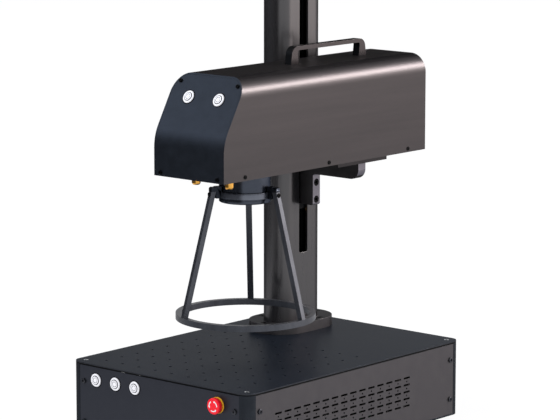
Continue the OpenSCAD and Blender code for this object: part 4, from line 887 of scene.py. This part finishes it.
def solids_in(shape):
    """The vertices of each separate solid in a mesh. A dict, unlike a set, keeps their order."""
    left = dict.fromkeys(shape.verts)
    while left:
        solid = [left.popitem()[0]]
        for vertex in solid:
            for edge in vertex.link_edges:
                other = edge.other_vert(vertex)
                if other in left:
                    del left[other]
                    solid.append(other)
        yield solid


def screw_place(solid):
    """Seat, facing, head radius and height, shank radius and length of one packed screw."""
    way = axis_of(dict.fromkeys(face for vertex in solid for face in vertex.link_faces))
    points = [vertex.co.copy() for vertex in solid]
    middle = sum(points, Vector()) / len(points)
    radii = [off_axis(point, middle, way) for point in points]
    head = [point for point, radius in zip(points, radii) if radius > max(radii) * WIDEST_SHARE]
    low, high = reach(points, middle, way)
    head_low, head_high = reach(head, middle, way)
    if abs(head_low - low) < abs(high - head_high):
        way = -way
        low, head_low, head_high = -high, -head_high, -head_low
    end = [radius for point, radius in zip(points, radii) if (point - middle).dot(way) < low + END_SLICE]
    return {"seat": middle + way * head_low, "facing": way, "head_radius": max(radii),
        "head_height": head_high - head_low, "shank_radius": max(end), "shank_length": head_low - low}


def screw_places(node):
    """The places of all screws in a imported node, always in the same order."""
    shape = merged(node)
    places = [screw_place(solid) for solid in solids_in(shape)]
    shape.free()
    return sorted(places, key=lambda place: [round(c, PLACE_DIGITS) for c in place["seat"]])


for node in ("cabinet_screws", "flange_screws", "head_screws", "guard_screws"):
    heads = [round(place["head_radius"] / MM * 2, 1) for place in screw_places(node)]
    print(node, len(heads), "screws, with heads of", sorted(set(heads)), "mm")

# %% Helpers that run a geometry tree
def geometry_tree(name, sizes):
    """An empty tree with a geometry input, the named sizes and a geometry output."""
    tree = bpy.data.node_groups.new(name, "GeometryNodeTree")
    tree.interface.new_socket("Geometry", in_out="INPUT", socket_type="NodeSocketGeometry")
    for label, kind in sizes.items():
        tree.interface.new_socket(label, in_out="INPUT", socket_type="NodeSocket" + kind)
    tree.interface.new_socket("Geometry", in_out="OUTPUT", socket_type="NodeSocketGeometry")
    return tree, tree.nodes.new("NodeGroupInput")


def work_out(tree, known, steps):
    """Adds the steps of a rule to the tree, each a row of result, operation, first and second value."""
    for result, operation, first, second in steps:
        known[result] = add(tree, "ShaderNodeMath", {"operation": operation}, {
            0: known.get(first, first), 1: known.get(second, second)}).outputs[0]
    return known


def close_tree(tree, geometry, material):
    """Ends a tree: instances become real mesh, which gets its finish."""
    real = add(tree, "GeometryNodeRealizeInstances", inputs={0: geometry})
    painted = add(tree, "GeometryNodeSetMaterial", inputs={
        "Geometry": real.outputs[0], "Material": material})
    add(tree, "NodeGroupOutput", inputs={0: painted.outputs[0]})
    print(tree.name, "has", len(tree.nodes), "nodes")


def point_cloud(name, places, numbers=None):
    """A mesh of single points, which carry the places' numbers of the given kinds."""
    mesh = bpy.data.meshes.new(name)
    mesh.from_pydata([place["seat"] for place in places], [], [])
    for label, kind in (numbers or {}).items():
        store = mesh.attributes.new(label, kind, "POINT")
        for item, place in zip(store.data, places):
            setattr(item, "vector" if kind == "FLOAT_VECTOR" else "value", place[label])
    return linked(name, mesh)


def grown(piece, tree, values, node):
    """Runs the tree on the piece with these input values, and leaves plain mesh that stands for a node."""
    modifier = piece.modifiers.new(tree.name, "NODES")
    modifier.node_group = tree
    for item in tree.interface.items_tree:
        if item.in_out == "INPUT" and item.name in values:
            modifier[item.identifier] = values[item.name]
    smooth(baked(piece).data)
    return fitted(piece, node)


print("tree helpers are ready")

# %% [markdown]
# The head is a disc with a chamfer and a six-sided hole, cut once by a boolean on a template of unit
# size. Each point then scales it: across by its head radius, along by its head height. A random turn
# about its own axis, from a fixed seed, keeps the sockets from lining up, as they never do on a real
# machine. Sums in a tree are written as a table, one Math node to a row.

# %% The screw template
UNIT = 1.0
TOP_FACE = 0.9
SOCKET_SIDES = 6
SHANK_SIDES = 16
screw_tree, given = geometry_tree("socket_screws", {
    "Sides": "Int", "Chamfer share": "Float", "Socket share": "Float", "Socket depth": "Float",
    "Seed": "Int", "Material": "Material"})
put = partial(add, screw_tree)
chamfer = given.outputs["Chamfer share"]
sums = work_out(screw_tree, {"chamfer": chamfer, "depth": given.outputs["Socket depth"]}, (
    ("top width", "SUBTRACT", UNIT, "chamfer"),
    ("full height", "ADD", UNIT, "chamfer"),
    ("cutter", "ADD", "full height", UNIT),
    ("cutter height", "SUBTRACT", "cutter", "depth"),
    ("flatten", "DIVIDE", UNIT, "full height")))

disc = put("GeometryNodeMeshCylinder", {"fill_type": "NGON"}, {
    "Vertices": given.outputs["Sides"], "Radius": UNIT, "Depth": UNIT})
lifted = put("GeometryNodeTransform", inputs={
    0: disc.outputs["Mesh"], "Translation": (0, 0, UNIT / 2)})
facing = put("ShaderNodeSeparateXYZ", inputs={
    0: put("GeometryNodeInputNormal").outputs[0]})
top_face = put("FunctionNodeCompare", {"data_type": "FLOAT", "operation": "GREATER_THAN"}, {
    0: facing.outputs["Z"], 1: TOP_FACE})
raised = put("GeometryNodeExtrudeMesh", inputs={
    "Mesh": lifted.outputs[0], "Selection": top_face.outputs[0], "Offset Scale": chamfer,
    "Individual": False})
narrowed = put("GeometryNodeScaleElements", inputs={
    "Geometry": raised.outputs["Mesh"], "Selection": raised.outputs["Top"], "Scale": sums["top width"]})
cutter = put("GeometryNodeMeshCylinder", {"fill_type": "NGON"}, {
    "Vertices": SOCKET_SIDES, "Radius": given.outputs["Socket share"], "Depth": 2 * UNIT})
cutter_place = put("ShaderNodeCombineXYZ", inputs={"Z": sums["cutter height"]})
socket_cut = put("GeometryNodeTransform", inputs={
    0: cutter.outputs["Mesh"], "Translation": cutter_place.outputs[0]})
head_solid = put("GeometryNodeMeshBoolean", {"operation": "DIFFERENCE", "solver": "EXACT"}, {
    "Mesh 1": narrowed.outputs[0], "Mesh 2": socket_cut.outputs[0]})
head_scale = put("ShaderNodeCombineXYZ", inputs={"X": UNIT, "Y": UNIT, "Z": sums["flatten"]})
unit_head = put("GeometryNodeTransform", inputs={
    0: head_solid.outputs["Mesh"], "Scale": head_scale.outputs[0]})
shank_bar = put("GeometryNodeMeshCylinder", {"fill_type": "NGON"}, {
    "Vertices": SHANK_SIDES, "Radius": UNIT, "Depth": UNIT})
unit_shank = put("GeometryNodeTransform", inputs={
    0: shank_bar.outputs["Mesh"], "Translation": (0, 0, -UNIT / 2)})
print("a head of", SOCKET_SIDES, "sides inside, on a shank of", SHANK_SIDES)

# %% Put the template on every point
SCREW_NUMBERS = {"facing": "FLOAT_VECTOR", "head_radius": "FLOAT", "head_height": "FLOAT",
    "shank_radius": "FLOAT", "shank_length": "FLOAT"}
stored = {label: put("GeometryNodeInputNamedAttribute", {"data_type": kind}, {
    "Name": label}).outputs["Attribute"] for label, kind in SCREW_NUMBERS.items()}
aligned = put("FunctionNodeAlignRotationToVector", {"axis": "Z"}, {"Vector": stored["facing"]})
spin = put("FunctionNodeRandomValue", {"data_type": "FLOAT"}, {
    2: 0.0, 3: math.tau, "Seed": given.outputs["Seed"]})
spin_turn = put("FunctionNodeAxisAngleToRotation", inputs={
    "Axis": (0, 0, 1), "Angle": spin.outputs[1]})
rotation = put("FunctionNodeRotateRotation", {"rotation_space": "LOCAL"}, {
    0: aligned.outputs[0], 1: spin_turn.outputs[0]})

both_parts = put("GeometryNodeJoinGeometry")
for template, across, along in ((unit_shank, "shank_radius", "shank_length"),
                                (unit_head, "head_radius", "head_height")):
    size = put("ShaderNodeCombineXYZ", inputs={
        "X": stored[across], "Y": stored[across], "Z": stored[along]})
    on_points = put("GeometryNodeInstanceOnPoints", inputs={
        "Points": given.outputs["Geometry"], "Instance": template.outputs[0],
        "Rotation": rotation.outputs[0], "Scale": size.outputs[0]})
    screw_tree.links.new(on_points.outputs[0], both_parts.inputs[0])
close_tree(screw_tree, both_parts.outputs[0], given.outputs["Material"])

# %% [markdown]
# On this machine only the table's screws and those of the feet are bright. The panels', the flange's,
# the head's and the guard's are blackened, and the photograph shows them as dark dots. So the cabinet's
# screws are grown in three lots, told apart by the way they face.

# %% Grow the screws
UPRIGHT = 0.7
SCREW_SHAPE = {"Sides": 32, "Chamfer share": 0.14, "Socket share": 0.54, "Socket depth": 0.62}


def grow_screws(name, node, material, seed, keep=lambda up: True):
    """The node's screws, or those that keep() picks by how far they face upwards, as one piece."""
    places = [place for place in screw_places(node) if keep(place["facing"].z)]
    cloud = point_cloud(name, places, SCREW_NUMBERS)
    return grown(cloud, screw_tree, {**SCREW_SHAPE, "Seed": seed, "Material": material}, node)


screws = [
    grow_screws("table_screws", "cabinet_screws", zinc_plate, 2, lambda up: up > UPRIGHT),
    grow_screws("panel_screws", "cabinet_screws", dark_nickel_and_groove_shade, 3, lambda up: abs(up) < UPRIGHT),
    grow_screws("foot_screws", "cabinet_screws", zinc_plate, 4, lambda up: up < -UPRIGHT),
    grow_screws("column_flange_screws", "flange_screws", black_oxide_and_painted_shade, 5),
    grow_screws("marking_head_screws", "head_screws", black_oxide_and_painted_shade, 6),
    grow_screws("guard_leg_screws", "guard_screws", black_oxide_and_painted_shade, 7),
]
print("screws:", {piece.name: len(piece.data.polygons) for piece in screws})

# %% [markdown]
# ## The stop button
#
# The mushroom head is a lathe shape: a straight-sided rim with soft edges, and a face that rises slightly
# to the middle. Its three turning arrows are pad-printed, which leaves a film far thinner than any edge
# and never sunk in the plastic. So they lie as one curved sheet 0.03 mm above the face, at the height
# that the face's own formula gives. A skirt under the head reaches into a pocket in the yellow collar,
# as on the real switch, so no gap shows at rest and nothing collides when it is pressed.

# %% Mushroom head
STOP_RADIUS = 10.8
STOP_FACE = 4.2
STOP_RISE = 0.42
STOP_BORE = (2.3, 2.3)
SKIRT = 2.2
RIM_OUTLINE = [(2.3, -SKIRT), (9.7, -SKIRT), (10.0, -SKIRT + 0.3), (10.0, 0), (10.5, 0.1), (10.7, 0.4),
    (STOP_RADIUS, 0.9), (STOP_RADIUS, 3.0), (10.7, 3.5), (10.4, 3.9), (10.0, 4.15)]
FACE_RADII = (9.6, 8.0, 6.0, 4.0, 2.0, 0)


def face_height(radius):
    """Height of the stop's face above its underside, in millimetres."""
    return STOP_FACE + STOP_RISE * (1 - (radius / STOP_RADIUS) ** 2)


def front_seat(node):
    """Where a turned part on the cabinet's front starts, facing the front."""
    middle = node_middle(node)
    return seat_on(middle, FRONT, reach(node_points(node), middle, FRONT)[0])


stop_seat = front_seat("estop_head")
stop_outline = [(0, STOP_BORE[1]), STOP_BORE] + RIM_OUTLINE + [(r, face_height(r)) for r in FACE_RADII]
stop_head = turned("stop_mushroom", stop_outline, stop_seat, "estop_head", nylon_red,
    FINE_STEPS, SOFT_ANGLE)
print("stop button's face rises to", face_height(0), "mm")

# %% Turning arrows
ARROWS = 3
ARROW_STEPS = 14
ARROW_RADIUS = 6.6
ARROW_WIDTH = 1.5
ARROW_GAP = 56
TIP_LENGTH = 24
BARB_SHARE = 1.15
PRINT_LIFT = 0.03


def arrow_ring(name):
    """Curved arrows round the face: a band of quads with a triangle at its end."""
    shape = bmesh.new()
    span = math.radians(360 / ARROWS - ARROW_GAP)

    def print_point(radius, angle):
        lift = face_height(radius) + PRINT_LIFT
        return shape.verts.new((radius * math.cos(angle) * MM, radius * math.sin(angle) * MM, lift * MM))

    for arrow in range(ARROWS):
        start = math.tau * arrow / ARROWS
        inner, outer = ([print_point(ARROW_RADIUS + side * ARROW_WIDTH / 2, start + span * i / ARROW_STEPS)
            for i in range(ARROW_STEPS + 1)] for side in (-1, 1))
        for i in range(ARROW_STEPS):
            shape.faces.new((inner[i], outer[i], outer[i + 1], inner[i + 1]))
        barbs = [print_point(ARROW_RADIUS + side * ARROW_WIDTH * BARB_SHARE, start + span)
            for side in (-1, 1)]
        tip = print_point(ARROW_RADIUS, start + span + math.radians(TIP_LENGTH))
        shape.faces.new((barbs[0], inner[-1], outer[-1], barbs[1], tip))
    bmesh.ops.recalc_face_normals(shape, faces=shape.faces)
    return object_of(shape, name)


arrows = arrow_ring("stop_arrows")
arrows.data.transform(stop_seat)
fitted(arrows, "estop_head", print_white)
print("stop button:", len(arrows.data.polygons), "arrow faces")

# %% Collar and stem
BODY_LENGTH = 26
BODY_RADIUS = 8
STEM_HOLE = 6.3
COLLAR_RADIUS = 11.0
POCKET_RADIUS = 10.3
# The collar from its outer wall over its rounded rim into the pocket, as radius and height on the body.
COLLAR_OUTLINE = ((COLLAR_RADIUS, 0), (COLLAR_RADIUS, 1.3), (10.9, 1.8), (10.7, 2), (10.45, 1.9),
    (POCKET_RADIUS, 1.6), (POCKET_RADIUS, 0.08), (STEM_HOLE, 0.08))

collar_outline = [(STEM_HOLE, 0), (BODY_RADIUS, 0), (BODY_RADIUS, BODY_LENGTH)]
collar_outline += [(radius, BODY_LENGTH + up) for radius, up in COLLAR_OUTLINE] + [(STEM_HOLE, 0)]
stop_collar = turned("stop_collar_ring", collar_outline, front_seat("estop_collar"), "estop_collar",
    nylon_yellow, FINE_STEPS, SOFT_ANGLE)
stop_stem = dressed("estop_stem", moulded_black, 0.2)
print("under it:", stop_collar.name, stop_stem.name)

# %% [markdown]
# ## Threads
#
# The lead screw is a trapezoidal thread, 5 mm from turn to turn, because one turn lifts the head by
# that much. A thread is the same strip repeated hundreds of times, so a tree makes it from a flat grid:
# each row of the grid becomes one helical line. Four rows make a turn (two at the root, two at the
# crest) and every column is one step round the axis, so row r at the last column falls on row r + 4 at
# the first, and merging by distance closes the seam. Rows that would pass an end are held at it, which
# gives the flat ends. The same tree, with its crest inside its root, gives the fine thread in the
# worktable's tapped holes.

# %% The thread's rule
ROWS_PER_TURN = 4
FIRST_CREST_ROW = 1.5
ROW_RISE = 0.37
CREST_SHIFT = 0.24
THREAD_RULE = (
    ("turns shown", "DIVIDE", "Length", "Pitch"),
    ("turns", "ADD", "turns shown", 2.0),
    ("whole", "CEIL", "turns", 0.0),
    ("rows", "MULTIPLY", "whole", ROWS_PER_TURN),
    ("row lines", "ADD", "rows", 1.0),
    ("column lines", "ADD", "Steps", 1.0),
    ("half", "DIVIDE", "rows", 2.0),
    ("from foot", "ADD", "grid Y", "half"),
    ("row", "ROUND", "from foot", 0.0),
    ("round share", "ADD", "grid X", 0.5),
    ("in turn", "MODULO", "row", ROWS_PER_TURN),
    ("on crest", "GREATER_THAN", "in turn", FIRST_CREST_ROW),
    ("slope", "MULTIPLY", "in turn", ROW_RISE),
    ("shift", "MULTIPLY", "on crest", CREST_SHIFT),
    ("profile", "SUBTRACT", "slope", "shift"),
    ("turns below", "DIVIDE", "row", ROWS_PER_TURN),
    ("whole turns", "FLOOR", "turns below", 0.0),
    ("line start", "ADD", "whole turns", "profile"),
    ("line rise", "SUBTRACT", "round share", 1.0),
    ("turn height", "ADD", "line start", "line rise"),
    ("free height", "MULTIPLY", "turn height", "Pitch"),
    ("above foot", "MAXIMUM", "free height", 0.0),
    ("height", "MINIMUM", "above foot", "Length"),
    ("depth", "SUBTRACT", "Crest radius", "Root radius"),
    ("stand out", "MULTIPLY", "on crest", "depth"),
    ("radius", "ADD", "Root radius", "stand out"),
    ("angle", "MULTIPLY", "round share", math.tau),
    ("cosine", "COSINE", "angle", 0.0),
    ("sine", "SINE", "angle", 0.0),
    ("x", "MULTIPLY", "radius", "cosine"),
    ("y", "MULTIPLY", "radius", "sine"),
)
print("the rule has", len(THREAD_RULE), "steps")

# %% The thread tree
THREAD_SIZES = {"Root radius": "Float", "Crest radius": "Float", "Pitch": "Float", "Length": "Float",
    "Steps": "Int", "Material": "Material"}
thread_tree, given = geometry_tree("helical_thread", THREAD_SIZES)
put = partial(add, thread_tree)
place = put("ShaderNodeSeparateXYZ", inputs={
    0: put("GeometryNodeInputPosition").outputs[0]})
known = {name: given.outputs[name] for name in THREAD_SIZES}
known.update({"grid X": place.outputs["X"], "grid Y": place.outputs["Y"]})
work_out(thread_tree, known, THREAD_RULE)
sheet = put("GeometryNodeMeshGrid", inputs={
    "Size X": 1, "Size Y": known["rows"], "Vertices X": known["column lines"],
    "Vertices Y": known["row lines"]})
helix = put("ShaderNodeCombineXYZ", inputs={
    "X": known["x"], "Y": known["y"], "Z": known["height"]})
wound = put("GeometryNodeSetPosition", inputs={
    "Geometry": sheet.outputs["Mesh"], "Position": helix.outputs[0]})
closed = put("GeometryNodeMergeByDistance", inputs={
    "Geometry": wound.outputs[0], "Distance": 0.01 * MM})
on_seats = put("GeometryNodeInstanceOnPoints", inputs={
    "Points": given.outputs["Geometry"], "Instance": closed.outputs[0]})
close_tree(thread_tree, on_seats.outputs[0], given.outputs["Material"])


def thread_piece(name, seats, node, values):
    """Threads that start at the seats and run up, as one piece that stands for the node."""
    return grown(point_cloud(name, [{"seat": seat} for seat in seats]), thread_tree, values, node)


# %% Lead screw
CORE, CREST = 4.25, 6
JOURNAL, CHAMFER = 4, 0.4
LEAD = 5

screw_low, screw_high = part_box("lead_screw")
screw_axis = node_middle("lead_screw")
points = node_points("lead_screw")
radii = [(point - screw_axis).xy.length for point in points]
wide = [point.z for point, radius in zip(points, radii) if radius > max(radii) * WIDEST_SHARE]
foot, crown, end = ((z - screw_low.z) / MM for z in (min(wide), max(wide), screw_high.z))
rod_outline = [(0, 0), (JOURNAL - CHAMFER, 0), (JOURNAL, CHAMFER), (JOURNAL, foot), (CORE, foot),
    (CORE, crown), (JOURNAL, crown), (JOURNAL, end - CHAMFER), (JOURNAL - CHAMFER, end), (0, end)]
# the lead screw is black oxide, whose black partly stands in for the shade inside the column
rod = turned("lead_screw_rod", rod_outline, Matrix.Translation((*screw_axis.xy, screw_low.z)),
    "lead_screw", black_oxide_and_painted_shade)
screw_thread = thread_piece("lead_screw_thread", [Vector((*screw_axis.xy, min(wide)))], "lead_screw", {
    "Root radius": CORE * MM, "Crest radius": CREST * MM, "Pitch": LEAD * MM,
    "Length": max(wide) - min(wide), "Steps": 28, "Material": black_oxide_and_painted_shade})
print("lead screw:", len(screw_thread.data.polygons), "faces of thread")

# %% Tapped holes
GRID_COUNT = 9
GRID_SPAN = 240 * MM
THREAD_DEPTH = 2.8 * MM

grid_middle = Vector(next(mount["pos_m"] for mount in frame["record"]["mounts"]
    if mount["name"] == "fixture_holes_all"))
grid_ways = [GRID_SPAN * (i / (GRID_COUNT - 1) - 0.5) for i in range(GRID_COUNT)]
hole_seats = [grid_middle + Vector((x, y, -THREAD_DEPTH)) for x in grid_ways for y in grid_ways]
hole_threads = thread_piece("tapped_hole_threads", hole_seats, "worktable", {
    "Root radius": 2.09 * MM, "Crest radius": 1.93 * MM, "Pitch": 0.8 * MM, "Length": 2.5 * MM,
    "Steps": 12, "Material": table_anodised})
print("tapped holes:", len(hole_seats), "with", len(hole_threads.data.polygons), "faces of thread")

# %% [markdown]
# ## Crank knob
#
# A revolving phenolic grip: tapered towards the wheel, with a rounded end and a groove above its foot.

# %% Knob
knob_low, knob_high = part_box("crank_knob")
knob_height = (knob_high.z - knob_low.z) / MM
knob_outline = [(3.3, 0), (5.2, 0), (5.7, 0.5), (5.8, 2.0), (5.2, 2.6), (5.2, 3.4), (5.9, 4.0), (6.3, 7),
    (6.7, 12), (6.95, 18), (7, 23), (6.85, 26.5), (6.4, 29.5), (5.6, 32), (4.4, 33.5),
    (2.4, knob_height - 0.1), (0, knob_height)]
knob = turned("crank_grip", knob_outline, Matrix.Translation((*node_middle("crank_knob").xy, knob_low.z)),
    "crank_knob", phenolic_black, LATHE_STEPS, SOFT_ANGLE)
print(f"{knob.name} {knob_height:.1f} mm high")

# %% [markdown]
# ## Guard
#
# The clamped collar is a turned ring with a fine chamfer at both rims and a thin groove, so a lathe
# makes it, a hair larger than the imported collar, and closed round it. The lugs and the clamp block of
# the imported collar stay, in black lacquer whose black is partly painted shade, the shade under the
# head. The legs and their ring are one welded frame in brushed dark steel.

# %% Guard collar, legs and ring
LUG_START = 39.0 * MM
RING_RADIUS = 38.95
RING_BORE = 37
RING_TOP = 8.6
RING_OUTLINE = [(RING_BORE, 0), (38.5, -0.15), (RING_RADIUS, 0.3), (RING_RADIUS, 6.9), (38.75, 7.05),
    (38.75, 7.35), (RING_RADIUS, 7.5), (RING_RADIUS, RING_TOP - 0.75), (38.85, RING_TOP - 0.35),
    (38.6, RING_TOP - 0.05), (38.2, RING_TOP + 0.12), (37.8, RING_TOP + 0.15), (RING_BORE, RING_TOP + 0.15),
    (RING_BORE, 0)]
lens_axis = node_middle("lens_glass").xy

collar = dressed("guard_collar", guard_steel, 0.35)
# partly painted shade: the lugs and the collar's sideways faces are black lacquer
split_finish(collar, [guard_steel, black_lacquer_and_lug_shade], lambda centre, normal:
    int((centre.xy - lens_axis).length > LUG_START or abs(normal.z) < SIDEWAYS))
collar_place = Matrix.Translation((*lens_axis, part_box("guard_collar")[0].z))
collar_ring = turned("guard_collar_ring", RING_OUTLINE, collar_place, "guard_collar", collar_steel,
    RING_STEPS, SOFT_ANGLE)
guard = [collar, collar_ring, dressed("guard_frame", guard_steel, 0.45)]
print("guard:", [piece.name for piece in guard])

# %% [markdown]
# ## Lens barrel
#
# The barrel is turned too. Its front rim is rounded, a fine line shows where the front ring is screwed
# on, and above the collar it runs up plain to the head.

# %% Barrel
barrel_low, barrel_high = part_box("lens_barrel")
length = (barrel_high.z - barrel_low.z) / MM
MOUTH, WALL, SHELF, BARREL = 28.6, 27, 30, 36
barrel_outline = [(MOUTH, 0), (34.4, 0), (35.2, 0.25), (35.8, 0.8), (BARREL, 1.5), (BARREL, 4.6),
    (35.75, 4.8), (35.75, 5.2), (BARREL, 5.4), (BARREL, length), (WALL, length), (WALL, 8), (SHELF, 8),
    (SHELF, 4), (MOUTH, 4), (MOUTH, 0)]
barrel = turned("lens_barrel_turned", barrel_outline, Matrix.Translation((*lens_axis, barrel_low.z)),
    "lens_barrel", barrel_anodised, RING_STEPS, SOFT_ANGLE)
print(f"{barrel.name} {length:.1f} mm long")
